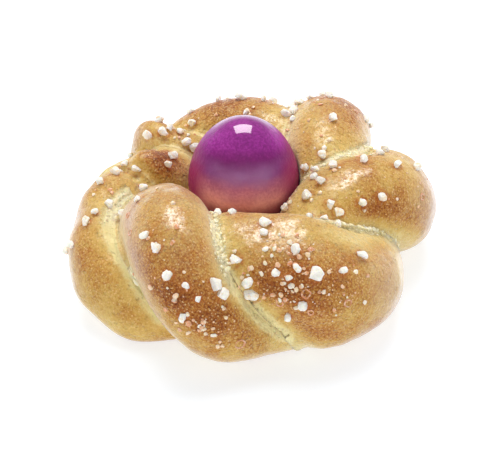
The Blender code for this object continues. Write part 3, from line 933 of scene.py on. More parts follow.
r = Recipe("golden_crust")
blotches = r.grain(9.0, detail=5.0, rough=0.62)
specks = r.grain(0.8, rough=0.8)
browned = r.stir(r.painted("bake"), blotches, 0.5)
browned = r.stir(browned, specks, r.fade(r.painted("bake"), 0.30, 0.65, 0.55, 1.15), clamp=True)
base = r.ramp(
    browned, (0.05, CREAM), (0.22, STRAW), (0.42, GOLD), (0.60, AMBER), (0.78, CHESTNUT), (1.0, BROWN)
)
# Pale specks: partly blisters, partly painted glints of light.
pale_specks_and_glints = r.times(r.fade(r.cells(1.15), 0.18, 0.40, 1.0, 0.0), r.fade(specks, 0.42, 0.54))
base = r.mix(r.times(pale_specks_and_glints, 0.75), base, SPECK_AND_GLINT)
dark_pits = r.times(r.fade(r.cells(2.1), 0.12, 0.30, 1.0, 0.0), r.fade(blotches, 0.42, 0.6))
base = r.mix(r.times(dark_pits, 0.18), base, CHESTNUT)
print("crust colours ready")

# %% [markdown]
# In the valleys the dough stayed pale, and where it tore, the fresh inside is nearly white. The ribbon's
# edge is ragged, as a tear is, so the painted valley is stirred by a crumbly noise before it is cut. The
# crack wanders for the same reason, and its dark colour is painted shade. A warm caramel along the line
# of each crease is painted shade too. Round the nibs the sugar ran and browned, and the same fringe is
# painted shade at each nib's foot. The foot is painted dark as shade where it meets the tray, and steep
# flanks are painted pale as a reflection of the white room. Each is one layer, mixed over the one before.

# %% Pale dough, cracks, syrup, painted shade and painted reflection
CRUMB, FRESH, SIDE_REFLECTION = srgb(250, 236, 174), srgb(255, 248, 216), srgb(230, 212, 196)
CREASE_SHADE, SYRUP_AND_SHADE, CRACK_SHADE = srgb(226, 170, 84), srgb(184, 100, 42), srgb(78, 54, 24)

crumbly = r.grain(2.2, detail=4.0, rough=0.7)
ragged = r.stir(r.painted("valley"), crumbly, 0.9)
ribbon = r.fade(ragged, 0.30, 0.75)
base = r.mix(r.times(ribbon, 0.80), base, CRUMB)
# A warm caramel painted as shade along the bottom of each crease.
base = r.mix(r.fade(r.maths("ABSOLUTE", r.painted("rift")), 0.0, 1.6, 0.35, 0.0), base, CREASE_SHADE)
wandering = r.maths("ABSOLUTE", r.stir(r.painted("rift"), crumbly, 1.5))
crack = r.times(r.fade(wandering, 0.02, 0.34, 1.0, 0.0), r.painted("cracked"))
crack = r.times(crack, r.fade(blotches, 0.36, 0.46))
# The crack's dark colour is painted shade inside it; the crack itself is only a bump and a deeper valley.
base = r.mix(r.times(crack, 0.75), base, CRACK_SHADE)
base = r.mix(r.times(r.painted("lip"), 0.8), base, CRUMB)
# A fringe of syrup brown at each nib's foot: partly browned syrup, partly painted shade.
base = r.mix(r.times(r.painted("fringe"), r.fade(crumbly, 0.35, 0.6, 0.1, 0.75)), base, SYRUP_AND_SHADE)
# The foot is painted darker as shade where it meets the tray.
base = r.mix(r.times(r.painted("foot_shade"), 0.7), base, CHESTNUT)
fresh = r.times(r.painted("torn"), r.fade(ragged, 0.55, 0.95))
base = r.mix(r.times(fresh, 0.6), base, FRESH)
# Steep flanks are painted pale as a reflection of the white room.
base = r.mix(r.times(r.painted("side_reflection"), 0.30), base, SIDE_REFLECTION)
print("pale dough, cracks and syrup ready")

# %% [markdown]
# The film of wash is a coat: a clear layer with a gloss of its own over the dough. It is broken by
# blisters and pores, so its streaks of light look crackled. A Layer Weight node finds the upright rims
# that one looks along. Flour-fine fuzz gives a little sheen. Under the coat, three bumps of different
# sizes make the skin: soft dimples, fine grain and tiny bubbles.

# %% Film and relief of the crust
film = r.fade(r.grain(4.5, detail=6.0, rough=0.72), 0.42, 0.60, 1.0, 0.12)
film = r.times(film, r.fade(r.grain(1.0), 0.36, 0.54, 0.25, 1.0))
edge_on = r.add("LayerWeight")
edge_on.inputs["Blend"].default_value = 0.5
rim = r.times(r.fade(edge_on.outputs["Facing"], 0.45, 0.86), r.painted("upright"))
dimples = r.bump(r.grain(3.2, detail=4.0, rough=0.55), 1.5)
fine = r.bump(r.grain(1.1, detail=4.0, rough=0.7), 0.62, dimples)
bubbly = r.bump(r.fade(r.cells(1.9), 0.10, 0.42), 0.30, fine)
web = r.times(r.times(ribbon, r.painted("torn")), r.fade(r.cells(1.6), 0.0, 0.6))
r.set(
    Base_Color=base,
    Roughness=r.fade(film, 0.2, 1.0, 0.62, 0.40),
    IOR=1.45,
    Specular_IOR_Level=0.2,
    Subsurface_Weight=0.10,
    Subsurface_Radius=(0.9, 0.45, 0.2),
    Subsurface_Scale=0.003,
    Coat_Weight=r.plus(r.times(film, r.painted("film")), rim, clamp=True),
    Coat_Roughness=0.27,
    Coat_IOR=2.1,
    Sheen_Weight=0.25,
    Sheen_Roughness=0.4,
    Sheen_Tint=(0.94, 0.88, 0.94, 1.0),
    Normal=r.bump(r.maths("SUBTRACT", web, crack), 0.5, bubbly),
)
r.give_to(bread)

# %% [markdown]
# ## The egg
#
# The shell is a net like the crust's, closed at its two ends with a tip each. A UV sphere could be
# stretched to it, but the formula above is the one that made the hollow. Two numbers are painted on it
# for the dye and for the painted shade and reflections: how high a point stands along a line that leans
# back by the camera's elevation, and how far out on the flank it lies.

# %% Egg mesh
EGG_ROWS, EGG_COLUMNS = ((180, 280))
BAND_LEAN = math.radians(37.5)

rows = np.linspace(-np.pi / 2, np.pi / 2, EGG_ROWS + 2)[1:-1]
turns = np.linspace(0, 2 * np.pi, EGG_COLUMNS, endpoint=False)
egg = net_object("egg", egg_points(*np.meshgrid(np.sin(rows), turns, indexing="ij")), close_ends=False)
bm = bmesh.new()
bm.from_mesh(egg.data)
for end, u_end in ((0, -1.0), (EGG_ROWS - 1, 1.0)):
    bm.verts.ensure_lookup_table()
    ring = [bm.verts[end * EGG_COLUMNS + i] for i in range(EGG_COLUMNS)]
    tip = bm.verts.new(egg_points(np.array(u_end), np.array(0.0)) * MM)
    for i in range(EGG_COLUMNS):
        bm.faces.new((tip, ring[i - 1], ring[i]))
bm.to_mesh(egg.data)
bm.free()
point_up(egg)
egg.location = SHIFT

offsets = np.array([vert.co / MM for vert in egg.data.vertices]) - EGG_CENTRE
# The level leans back by the camera's elevation, so the bands of painted shade and reflection lie across the
# view.
paint(egg, "band_level", offsets[:, 2] * math.cos(BAND_LEAN) + offsets[:, 1] * math.sin(BAND_LEAN))
paint(egg, "flank", np.abs(offsets[:, 0]) / (EGG_WIDTH / 2))
print("egg:", len(egg.data.polygons), "faces")

# %% [markdown]
# Dye takes unevenly on a shell: it is mottled, and darker in patches. The top is a deep purple, and
# below the lit top the shell is painted darker as shade. Lower down come painted reflections: first a
# misty lilac for the white room at table height, then mauve and pink for the warm bread, with plum
# painted as shade close to the bread. The flanks stay rosy. Each band is mixed over the last by the
# painted level, which noise makes wander and the flanks pull down.

# %% Dye, painted shade and painted reflections on the shell
MIDDLE_SHADE, MIST_REFLECTION, ROSY, PLUM_SHADE = srgb(112, 32, 96), srgb(160, 104, 164), srgb(150, 44, 96), srgb(136, 40, 78)

r = Recipe("purple_shell")
mottle = r.grain(1.0, rough=0.6)
dye = r.plus(r.times(r.grain(15.0, detail=3.0), 0.50), r.times(mottle, 0.50))
deep = r.ramp(dye, (0.36, srgb(126, 26, 116)), (0.50, srgb(150, 38, 140)), (0.64, srgb(178, 58, 164)))
warm_reflection = r.ramp(dye, (0.36, srgb(232, 150, 152)), (0.52, srgb(248, 172, 166)), (0.66, srgb(254, 188, 176)))
mauve_reflection = r.ramp(dye, (0.36, srgb(168, 92, 122)), (0.52, srgb(188, 108, 134)), (0.66, srgb(204, 124, 144)))
aside = r.painted("flank")
flank = r.fade(aside, 0.58, 0.92)
sag = r.times(r.maths("POWER", aside, 2.0), -8.0)
level = r.plus(r.painted("band_level"), r.stir(sag, r.grain(9.0, detail=3.0), 5.0))
# Below the lit top, the shell is painted darker as shade.
colour = r.mix(r.fade(level, 2.0, 11.0, 0.85, 0.0), deep, MIDDLE_SHADE)
# A misty lilac band: painted reflection of the white room at table height.
mist_reflection = r.times(r.fade(level, -2.5, 5.0, 0.85, 0.0), r.fade(aside, 0.25, 0.75, 1.0, 0.25))
colour = r.mix(mist_reflection, colour, MIST_REFLECTION)
colour = r.mix(r.times(flank, 0.55), colour, ROSY)
# Mauve, then pink lower down: painted reflection of the warm bread.
colour = r.mix(r.fade(level, -8.0, -2.0, 0.9, 0.0), colour, mauve_reflection)
colour = r.mix(r.fade(level, -15.0, -6.0, 0.95, 0.0), colour, warm_reflection)
# Plum close to the bread: painted shade.
colour = r.mix(r.fade(level, -18.0, -12.0, 0.85, 0.0), colour, PLUM_SHADE)
colour = r.mix(r.times(flank, r.fade(level, -4.0, 4.0, 1.0, 0.0)), colour, ROSY)
print("dye ready")

# %% [markdown]
# The shell was rubbed with a little oil, which gives its top a clear gloss over a faint orange-skin
# grain. Lower down and on the flanks the gloss wears off, so the coat fades out there.

# %% Gloss of the shell
polish = r.fade(aside, 0.35, 0.70, 1.0, 0.0)
r.set(
    Base_Color=colour,
    Roughness=r.fade(mottle, 0.3, 0.7, 0.30, 0.42),
    IOR=1.45,
    Specular_IOR_Level=0.1,
    Coat_Weight=r.times(r.fade(level, 3.0, 14.0, 0.3, 1.0), polish),
    Coat_Roughness=0.06,
    Coat_IOR=1.85,
    Normal=r.bump(r.grain(0.9), 0.11, r.bump(r.grain(2.6, detail=3.0), 0.34)),
)
r.give_to(egg)

# %% [markdown]
# ## Pearl sugar
#
# Pearl sugar is pressed sugar broken into blunt lumps. It stays white in the oven. A particle system
# could scatter it, but the solids already carry the larger nibs, so we place ours by the same rules:
# the listed ones first, each with its way along the lobe, its lean in degrees and its size, then a
# seeded scatter.

# %% Where the nibs lie
LARGE_NIBS = {
    "front_left": (
        (0.09, 42, 3.4), (0.15, 34, 4.4), (0.25, 40, 4.0), (0.37, 9, 4.8), (0.42, 20, 4.8),
        (0.31, 34, 2.6), (0.37, 39, 2.6), (0.39, 74, 3.4), (-0.21, 18, 3.6),
    ),
    "front_right": (
        (-0.11, 47, 4.6), (-0.03, 67, 4.2), (-0.01, 80, 4.6), (-0.02, 8, 3.4), (0.14, 21, 4.4),
        (0.16, 41, 3.0), (0.23, 44, 5.2), (0.33, 38, 3.4), (0.42, 23, 3.8), (0.22, 79, 3.8),
        (0.18, 101, 3.4), (0.14, 53, 2.6), (-0.36, -4, 3.2),
    ),
    "right": (
        (-0.20, 24, 4.0), (-0.21, 37, 4.0), (-0.22, -12, 4.2), (0.08, -3, 4.0), (-0.03, -19, 4.0),
        (-0.30, -40, 3.4), (-0.32, 8, 3.0), (-0.29, 26, 3.2), (-0.28, 40, 3.0), (0.34, -18, 4.4),
        (0.22, -14, 3.6), (-0.12, -28, 3.0),
    ),
    "back_right": (
        (0.16, 2, 3.6), (0.30, -20, 4.2), (0.16, -48, 3.8), (-0.29, -27, 3.6), (-0.33, -20, 3.4),
        (-0.39, -8, 3.4),
    ),
    "back": ((0.18, 12, 4.6), (0.31, 24, 3.2), (0.06, 16, 3.2), (-0.14, 16, 4.0), (0.46, -16, 4.0)),
    "back_left": (
        (-0.02, -1, 3.8), (0.10, -24, 3.8), (0.01, -18, 4.0), (-0.15, -25, 3.8), (-0.22, -34, 3.8),
        (0.05, 14, 3.4),
    ),
    "left": ((-0.16, -16, 3.8), (0.22, -20, 3.8), (-0.26, -60, 3.0)),
    "outer_left": ((-0.05, 15, 4.0), (0.07, 21, 4.0), (0.39, 20, 3.8), (0.25, -22, 4.0)),
}
SCATTER = {
    "front_left": 1, "front_right": 3, "right": 5, "back_right": 9,
    "back": 9, "back_left": 4, "left": 2, "outer_left": 5,
}
SCATTER_ALONG = (-0.4, 0.5)
SCATTER_ACROSS = (10, 34)
NIB_SIZES = (2.8, 4.2)
NIB_SUNK, NIB_SPACING, NIB_SEED = 0.25, 4.4, 7


def angle_of_lobe(number):
    """The ring angle at a fractional lobe number, by halving the span where it lies."""
    low, high = CRESTS[0] - 360.0, CRESTS[0] + 720.0
    for _ in range(40):
        middle = (low + high) / 2
        if lobe_number(middle) < number:
            low = middle
        else:
            high = middle
    return low


def on_strand(lobe, part_way, lean):
    """A point on a lobe's strand and the direction out of it, before the relief."""
    strand = lobe % 2
    angle = angle_of_lobe(lobe + part_way)
    (behind, ahead), _ = strand_at(strand, np.array([angle - 0.5, angle + 0.5]))
    centre, radius = strand_at(strand, angle)
    forward = Vector(ahead - behind).normalized()
    sideways = forward.cross(Vector((0, 0, 1))).normalized()
    up = sideways.cross(forward)
    outward = sideways * math.sin(math.radians(lean)) + up * math.cos(math.radians(lean))
    return Vector(centre) + outward * float(radius), outward


print("a place on the front lobe:", [round(v, 1) for v in on_strand(0, 0.0, 0.0)[0]])

# %% [markdown]
# A nib is left out where it would touch the egg or lie inside the other strand. A scattered one is also
# left out where another nib is too near, as a baker's sprinkling never stacks them.


# %% Place the nibs
def place_nibs():
    """Places, sizes and directions of the nibs, as the solids have them."""
    draw = random.Random(NIB_SEED)
    placed = []

    def try_place(lobe, part_way, lean, size):
        point, outward = on_strand(lobe, part_way, lean)
        centre = point + outward * size * (0.5 - NIB_SUNK)
        local = (np.array(centre) - EGG_CENTRE) @ EGG_TURN
        height = local[2] / (EGG_LENGTH / 2)
        girth = EGG_WIDTH / 2 * (1 - EGG_TAPER * height)
        share = math.sqrt((local[0] ** 2 + local[1] ** 2) / girth**2 + height**2)
        clear_of_egg = (1 - share) * EGG_WIDTH / 2 < -(size / 2 + 2 * EGG_GAP)
        centres, radii = CHAINS[1 - lobe % 2]
        on_top = np.max(radii - np.linalg.norm(centres - np.array(centre), axis=1)) < 0
        if clear_of_egg and on_top:
            placed.append((centre, size, outward))

    def crowded(lobe, part_way, lean):
        point = on_strand(lobe, part_way, lean)[0]
        return any((point - other).length < NIB_SPACING for other, _, _ in placed)

    for lobe, name in enumerate(NAMES):
        for part_way, lean, size in LARGE_NIBS[name]:
            try_place(lobe, part_way, lean, size)
        wanted = len(placed) + SCATTER[name]
        while len(placed) < wanted:
            part_way, lean = draw.uniform(*SCATTER_ALONG), draw.gauss(*SCATTER_ACROSS)
            if not crowded(lobe, part_way, lean):
                try_place(lobe, part_way, lean, draw.uniform(*NIB_SIZES))
    return placed


nib_places = place_nibs()
print("nibs:", len(nib_places))

# %% [markdown]
# The settling and the relief have moved the crust by a few millimetres, so each nib is set down afresh:
# we shoot a ray from outside along its direction and sink it into the crust where the ray lands. A
# shrinkwrap constraint could do the same for one object, but a ray serves hundreds of lumps.

# %% Set things down on the crust
crust_tree = BVHTree.FromPolygons(
    [tuple(p) for p in crust.reshape(-1, 3)], [tuple(f.vertices) for f in bread.data.polygons]
)


def land(point, outward, height=8.0):
    """Where a ray from outside meets the crust near a point, and the crust's normal there."""
    start = Vector(point) + Vector(outward) * height
    hit, normal, _, _ = crust_tree.ray_cast(start, -Vector(outward), 3 * height)
    if hit is None:
        return None, None
    return hit, normal if normal.dot(outward) > 0 else -normal


def object_from(bm, name, place=SHIFT, sharp=None):
    """Turn a bmesh into a smooth object; edges sharper than `sharp` degrees stay sharp."""
    mesh = bpy.data.meshes.new(name)
    bm.to_mesh(mesh)
    bm.free()
    mesh.shade_smooth()
    if sharp:
        mesh.set_sharp_from_angle(angle=math.radians(sharp))
    obj = link(bpy.data.objects.new(name, mesh))
    obj.location = place
    print(name + ":", len(mesh.polygons), "faces")
    return obj


print("the ray finds the crust:", land(nib_places[0][0], nib_places[0][2])[0] is not None)

# %% [markdown]
# A lump is a ball of points pushed in by a few flat cuts, then roughened by noise of three sizes. That
# gives the broken, blunt look that a sphere never has. Carving each with Booleans would take far longer.

# %% Nibs of pearl sugar
CUT_DEPTHS, CUT_BITE = (0.48, 0.80), 0.96  # shares of the radius
ROUGHNESS = ((2.2, 0.14), (5.0, 0.10), (11.0, 0.04))  # how often on a lump and how deep
NIB_SWELL = 1.16


def lump_of_sugar(bm, centre, outward, size, draw, detail, flatness=0.85, cuts=9):
    """Add one broken, blunt lump to a bmesh."""
    ball = bmesh.ops.create_icosphere(bm, subdivisions=detail, radius=1.0)["verts"]
    faces = []
    for _ in range(cuts):
        side = Vector([draw.gauss(0, 1) for _ in range(3)]).normalized()
        faces.append((side, draw.uniform(*CUT_DEPTHS)))
    seed = draw.uniform(0, 99)
    spin = Matrix.Rotation(draw.uniform(0, 2 * math.pi), 3, "Z")
    squeeze = Matrix.Diagonal((draw.uniform(0.9, 1.15), draw.uniform(0.78, 1.0), flatness))
    stand = outward.to_track_quat("Z", "Y").to_matrix()
    (broad, broad_depth), (middling, middling_depth), (fine, fine_depth) = ROUGHNESS
    for vert in ball:
        co = vert.co.copy()
        for side, depth in faces:
            over = co.dot(side) - depth
            if over > 0:
                co -= side * over * CUT_BITE
        co *= 1 + broad_depth * noise.noise(co * broad + Vector((seed, 0, 0)))
        co += middling_depth * noise.noise(co * middling + Vector((0, seed, 0))) * co.normalized()
        co += fine_depth * noise.noise(co * fine + Vector((0, 0, seed))) * co.normalized()
        vert.co = (Vector(centre) + stand @ (spin @ (squeeze @ co)) * size / 2) * MM


draw = random.Random(NIB_SEED + 1)
bm = bmesh.new()
for centre, size, outward in nib_places:
    surface, _ = land(centre, outward)
    if surface is not None and (surface - centre).length < size + 4.0:
        centre = surface + outward * size * (0.5 - NIB_SUNK)
    lump_of_sugar(bm, centre, outward, size * NIB_SWELL, draw, 3)
pearl_sugar = object_from(bm, "pearl_sugar", sharp=38)

# %% [markdown]
# Sugar that melts at the foot of a nib runs into the crust and browns it in a thin fringe. The same
# fringe is painted shade where each nib meets the crust. We measure how far each point of the crust is
# from its nearest nib and paint the fringe where that is just beyond the nib's edge. A KD tree finds the
# nearest of many points quickly.

# %% Syrup fringe and painted shade round the nibs
FRINGE_AT, FRINGE_WIDTH = 0.62, 0.8  # as a share of the nib's size, and in millimetres

nib_tree = KDTree(len(nib_places))
for i, (centre, _, _) in enumerate(nib_places):
    nib_tree.insert(centre, i)
nib_tree.balance()
fringe = []
for point in crust.reshape(-1, 3):
    _, i, distance = nib_tree.find(point)
    fringe.append(math.exp(-(((distance - FRINGE_AT * nib_places[i][1]) / FRINGE_WIDTH) ** 2)))
paint(bread, "fringe", fringe)
print("fringe points:", sum(value > 0.5 for value in fringe))

# %% [markdown]
# Sugar dust and slivers lie between the nibs. The dust lies in loose drifts on the two front lobes and
# thinly elsewhere, so we scatter it in named drifts rather than evenly. The syrup it gives off browns,
# so each grain gets a tint of its own, from ivory to caramel.

# %% Sugar dust
Drift = namedtuple("Drift", "lobe along across spread_along spread_across count")
DRIFTS = [Drift(*row) for row in (
    ("front_right", 0.10, 62, 0.13, 20, 70), ("front_right", 0.32, 66, 0.10, 20, 26),
    ("front_right", 0.10, 20, 0.10, 12, 26), ("front_left", 0.38, 55, 0.10, 22, 34),
    ("front_left", 0.46, 84, 0.04, 8, 22), ("front_left", 0.05, 15, 0.10, 25, 10),
    ("right", -0.10, 0, 0.20, 35, 34), ("right", 0.25, 40, 0.15, 30, 12),
    ("back_right", 0.00, -6, 0.20, 20, 22), ("back", 0.10, 0, 0.25, 35, 24),
    ("back_left", 0.00, 0, 0.20, 30, 20), ("left", 0.00, 10, 0.20, 30, 4),
    ("outer_left", 0.10, 0, 0.25, 30, 18),
)]
DUST_SIZES, DUST_SKEW, DUST_SEED = (0.8, 2.7), 1.7, 23
DUST_REACH = 2.5  # millimetres that a grain may be moved to reach the crust
DUST_CLEAR = 2.0  # millimetres from the egg


def skewed_size(draw, sizes, skew):
    """A random size, more often a small one."""
    return sizes[0] + (sizes[1] - sizes[0]) * draw.random() ** skew


def tint_from(bm, first, tint):
    """Give every point of a bmesh from `first` on the same tint."""
    layer = bm.verts.layers.float["tint"]
    bm.verts.ensure_lookup_table()
    for vert in bm.verts[first:]:
        vert[layer] = tint


draw = random.Random(DUST_SEED)
bm = bmesh.new()
bm.verts.layers.float.new("tint")
for drift in DRIFTS:
    lobe = NAMES.index(drift.lobe)
    for _ in range(drift.count):
        part_way = draw.gauss(drift.along, drift.spread_along)
        point, outward = on_strand(lobe, part_way, draw.gauss(drift.across, drift.spread_across))
        size, tint = skewed_size(draw, DUST_SIZES, DUST_SKEW), draw.random()
        surface, normal = land(point, outward)
        if surface is None or (surface - point).length > DUST_REACH:
            continue
        if egg_distance(np.array(surface)) < DUST_CLEAR:
            continue
        first, detail = len(bm.verts), 1 if size < 1.4 else 2
        lump_of_sugar(bm, surface + normal * size * 0.12, normal, size, draw, detail, flatness=0.5, cuts=7)
        tint_from(bm, first, tint)
print("dust:", len(bm.verts), "points")

# %% [markdown]
# Where a drop of syrup boiled, it left a small ring, open on one side as a burst bubble is. A torus
# would be too even, so the ring's radius wobbles and its thickness falls off towards the gap.

# %% Syrup rings
SYRUP_RINGS = (  # lobe, along, across, radius
    ("front_right", 0.22, 66, 1.5), ("front_right", 0.37, 74, 1.4), ("front_right", 0.13, 84, 1.2),
    ("front_right", 0.26, 88, 1.0), ("front_left", 0.62, 92, 1.9), ("front_left", -0.10, 62, 1.2),
    ("front_left", 0.02, 66, 1.1), ("right", 0.30, 64, 1.2), ("back_right", 0.10, 40, 1.1),
)
RING_POINTS, RING_SIDES, RING_THICKNESS, RING_FLATNESS = 22, 7, 0.30, 0.8


def syrup_ring(bm, centre, outward, radius, draw):
    """Add a low uneven ring to a bmesh."""
    stand = outward.to_track_quat("Z", "Y").to_matrix()
    gap, seed = draw.uniform(0, 6.28), draw.uniform(0, 99)
    rows = []
    for i in range(RING_POINTS):
        turn = 2 * math.pi * i / RING_POINTS
        wobble = 1 + 0.25 * noise.noise((math.cos(turn) * 1.3, math.sin(turn) * 1.3, seed))
        thick = RING_THICKNESS * (0.35 + 0.65 * abs(math.sin((turn - gap) / 2)) ** 0.7) * (wobble + 0.3)
        row = []
        for j in range(RING_SIDES):
            lean = 2 * math.pi * j / RING_SIDES
            reach, height = radius * wobble + thick * math.cos(lean), thick * RING_FLATNESS * math.sin(lean)
            local = Vector((reach * math.cos(turn), reach * math.sin(turn), height))
            row.append(bm.verts.new((Vector(centre) + stand @ local) * MM))
        rows.append(row)
    for i, row in enumerate(rows):
        before = rows[i - 1]
        for j in range(RING_SIDES):
            bm.faces.new((before[j - 1], row[j - 1], row[j], before[j]))


for name, part_way, lean, radius in SYRUP_RINGS:
    surface, normal = land(*on_strand(NAMES.index(name), part_way, lean))
    if surface is not None:
        first = len(bm.verts)
        syrup_ring(bm, surface + normal * 0.05, normal, radius, draw)
        tint_from(bm, first, 1.0)
bmesh.ops.recalc_face_normals(bm, faces=bm.faces)
sugar_dust = object_from(bm, "sugar_dust", sharp=45)

# %% [markdown]
# Where a rising lobe has torn away from its neighbour, the soft inside shows as a crumbly web. Bump
# alone would stay flat at the edges, so it is made of small flattened lumps of dough, crowded along the
# torn stretches of the valleys.

# %% Torn crumb
CRUMB_COUNTS = {0: 420, 1: 240, 2: 60}  # per valley, counted from the front one
CRUMB_SIZES, CRUMB_SKEW, CRUMB_SEED = (0.6, 2.1), 1.6, 41
CRUMB_LOWEST, CRUMB_CLEAR = 12, 2.5  # millimetres above the tray and from the egg

is_torn = (torn * valley > 0.35) & (crust[..., 2] > CRUMB_LOWEST) & (egg_distance(skin) > CRUMB_CLEAR)
torn_places = np.argwhere(is_torn)
draw = random.Random(CRUMB_SEED)
bm = bmesh.new()
for number, count in CRUMB_COUNTS.items():
    places = torn_places[valley_of_point[torn_places[:, 0], torn_places[:, 1]] == number]
    for _ in range(count):
        row, column = places[draw.randrange(len(places))]
        size = skewed_size(draw, CRUMB_SIZES, CRUMB_SKEW) * (0.5 + 0.6 * valley[row, column])
        outward = Vector(normals[row, column])
        centre, detail = Vector(crust[row, column]) + outward * size * 0.08, 1 if size < 1.2 else 2
        lump_of_sugar(bm, centre, outward, size, draw, detail, flatness=0.45, cuts=4)
torn_crumb = object_from(bm, "torn_crumb")

# %% [markdown]
# The inside of the dough is matt and lets a little light through, which fills its small shadows with a
# warm glow. Subsurface scattering does that: its three radii say how far red, green and blue light
# travel before they come out again.

# %% Finish of the torn crumb
BUTTER, IVORY, MILK = srgb(252, 232, 166), srgb(255, 244, 202), srgb(255, 252, 230)

r = Recipe("torn_crumb")
r.set(
    Base_Color=r.ramp(r.grain(2.0, detail=4.0), (0.3, BUTTER), (0.5, IVORY), (0.75, MILK)),
    Roughness=r.fade(r.grain(1.0), 0.3, 0.7, 0.5, 0.8),
    Subsurface_Weight=0.2,
    Subsurface_Radius=(0.9, 0.6, 0.3),
    Subsurface_Scale=0.002,
    Normal=r.bump(r.grain(0.7, detail=3.0), 0.25),
)
r.give_to(torn_crumb)

# %% [markdown]
# Sugar glows at its edges, because light goes into each lump and out again, so it scatters more than
# the dough. The dust reads the tint painted on each grain and is half melted, which gives it a wet
# gloss. The nibs stay matt and nearly white, with a warm cream in some places and a crystal grain.

# %% Finish of the sugar
r = Recipe("sugar_dust")
tinted = r.ramp(
    r.painted("tint"),
    (0.0, srgb(250, 240, 222)),
    (0.30, srgb(246, 212, 172)),
    (0.65, srgb(236, 176, 128)),
    (1.0, srgb(214, 142, 92)),
)
r.set(
    Base_Color=r.mix(r.fade(r.grain(0.8), 0.4, 0.7, 0.0, 0.5), tinted, srgb(250, 238, 220)),
    Roughness=0.28,
    IOR=1.5,
    Subsurface_Weight=0.35,
    Subsurface_Radius=(1.0, 0.6, 0.3),
    Subsurface_Scale=0.001,
    Coat_Weight=0.5,
    Coat_Roughness=0.1,
    Normal=r.bump(r.grain(0.5), 0.1),
)
r.give_to(sugar_dust)

r = Recipe("pearl_sugar")
warm = r.grain(2.5, detail=3.0)
WARM, WHITE, SOFT_WHITE = srgb(246, 224, 192), srgb(252, 247, 238), srgb(252, 246, 234)
r.set(
    Base_Color=r.ramp(warm, (0.34, WARM), (0.44, WHITE), (0.66, SOFT_WHITE)),
    Roughness=0.55,
    Subsurface_Weight=0.5,
    Subsurface_Radius=(1.0, 0.85, 0.65),
    Subsurface_Scale=0.0015,
    Normal=r.bump(r.cells(0.7), 0.25, r.bump(r.grain(1.2, detail=3.0), 0.35)),
)
r.give_to(pearl_sugar)

# %% [markdown]
# ## Camera, light and floor
#
# The camera looks down at the wreath as one does at a table, from far enough to keep its shape calm.
# Its lens follows from how many pixels of a 500-pixel picture a millimetre of bread should fill.

# %% Camera
PICTURE_WIDTH, PIXELS_PER_MM = 500.0, 2.52
CAMERA_TARGET, CAMERA_DISTANCE, CAMERA_ELEVATION, SENSOR = (5.5, -12.8, 18.0), 710.0, 37.5, 36.0


def look_at(obj, place, target):
    """Put a camera or lamp at a place and turn it to a target."""
    obj.location = place
    obj.rotation_euler = (target - obj.location).to_track_quat("-Z", "Y").to_euler()


target = Vector(CAMERA_TARGET) * MM + SHIFT
elevation = math.radians(CAMERA_ELEVATION)
back = Vector((0, -math.cos(elevation), math.sin(elevation)))
camera_data = bpy.data.cameras.new("camera")
camera_data.sensor_width = SENSOR
camera_data.lens = PIXELS_PER_MM * CAMERA_DISTANCE / PICTURE_WIDTH * SENSOR
camera = link(bpy.data.objects.new("camera", camera_data))
look_at(camera, target + back * CAMERA_DISTANCE * MM, target)
bpy.context.scene.camera = camera
print("lens", round(camera_data.lens, 1), "mm")

# %% [markdown]
# The studio is plain: a large soft window above and behind, and weak panels all round that fill the
# shadows. The film shows the window as broad soft streaks on the side of each lobe that faces it. The
# panels are hidden from reflections, so each streak stays a single one.

# %% Lamps
LAMPS = (  # name, place in millimetres, size, power, tint, seen in the gloss
    ("window", (-20, 450, 960), (780, 660), 9.8, (1.0, 0.99, 0.97), True),
    ("left_panel", (-760, 420, 300), (500, 420), 3.0, (0.98, 0.97, 1.0), False),
    ("right_panel", (760, 420, 300), (500, 420), 3.0, (0.98, 0.97, 1.0), False),
    ("front_fill", (0, -900, 500), (700, 500), 3.7, (1.0, 1.0, 1.0), False),
)
LAMPS_AIM = SHIFT + Vector((0, 0, 0.025))

for name, place, size, power, tint, glossy in LAMPS:
    data = bpy.data.lights.new(name, "AREA")
    data.shape = "RECTANGLE"
    data.size, data.size_y = size[0] * MM, size[1] * MM
    data.energy, data.color = power, tint
    lamp = link(bpy.data.objects.new(name, data))
    look_at(lamp, Vector(place) * MM + SHIFT, LAMPS_AIM)
    lamp.visible_glossy = glossy
print("lamps:", len(LAMPS))

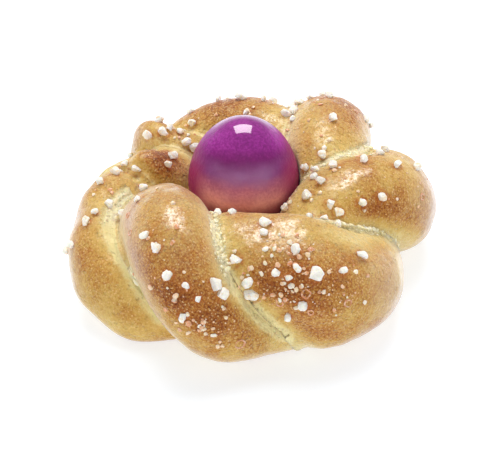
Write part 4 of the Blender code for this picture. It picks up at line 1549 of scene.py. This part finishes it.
# %% [markdown]
# The room round it is white at the height of the table and grey above. So the rims and flanks of the
# dough, which mirror what is low, shine pale, while the tops keep their colour.

# %% Room
WALLS = ((0.0, 1.0), (0.07, 0.88), (0.22, 0.26), (1.0, 0.18))  # sine of the height, brightness

world = bpy.data.worlds.new("white_room")
world.use_nodes = True
room = world.node_tree
height = room.nodes.new("ShaderNodeSeparateXYZ")
room.links.new(room.nodes.new("ShaderNodeTexCoord").outputs["Generated"], height.inputs["Vector"])
walls = room.nodes.new("ShaderNodeValToRGB")
set_stops(walls.color_ramp, [(position, (light, light, light, 1.0)) for position, light in WALLS])
room.links.new(height.outputs["Z"], walls.inputs["Fac"])
room.links.new(walls.outputs["Color"], room.nodes["Background"].inputs["Color"])
room.nodes["Background"].inputs["Strength"].default_value = 1.0
bpy.context.scene.world = world
bpy.context.scene.view_settings.view_transform = "Standard"
print("room ready")

# %% [markdown]
# The floor is a pale sheet that glows a little by itself, so it turns pure white away from the bread
# and still takes a faint soft shadow beside it. It is far wider than the view, so no edge shows.

# %% Floor
FLOOR_SIZE = 6.0  # metres

bm = bmesh.new()
bmesh.ops.create_grid(bm, x_segments=8, y_segments=8, size=FLOOR_SIZE / 2)
floor = object_from(bm, "floor", place=(0, 0, 0))
r = Recipe("pale_floor")
r.set(
    Base_Color=r.ramp(r.grain(40.0, detail=3.0), (0.3, srgb(176, 184, 194)), (0.7, srgb(180, 188, 198))),
    Roughness=0.7,
    Emission_Color=(1.0, 1.0, 1.0, 1.0),
    Emission_Strength=0.64,
)
r.give_to(floor)

# %% [markdown]
# ## Hand the pieces over
#
# Each piece is hung on the frame's root, and the solid that it stands for is hidden.

# %% Finish
for piece, node, slot in (
    (bread, "bread_wreath", "golden_crust"),
    (pearl_sugar, "bread_wreath", "golden_crust"),
    (sugar_dust, "bread_wreath", "golden_crust"),
    (torn_crumb, "bread_wreath", "golden_crust"),
    (egg, "easter_egg", "purple_shell"),
):
    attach(piece, "root")
    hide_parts(node)
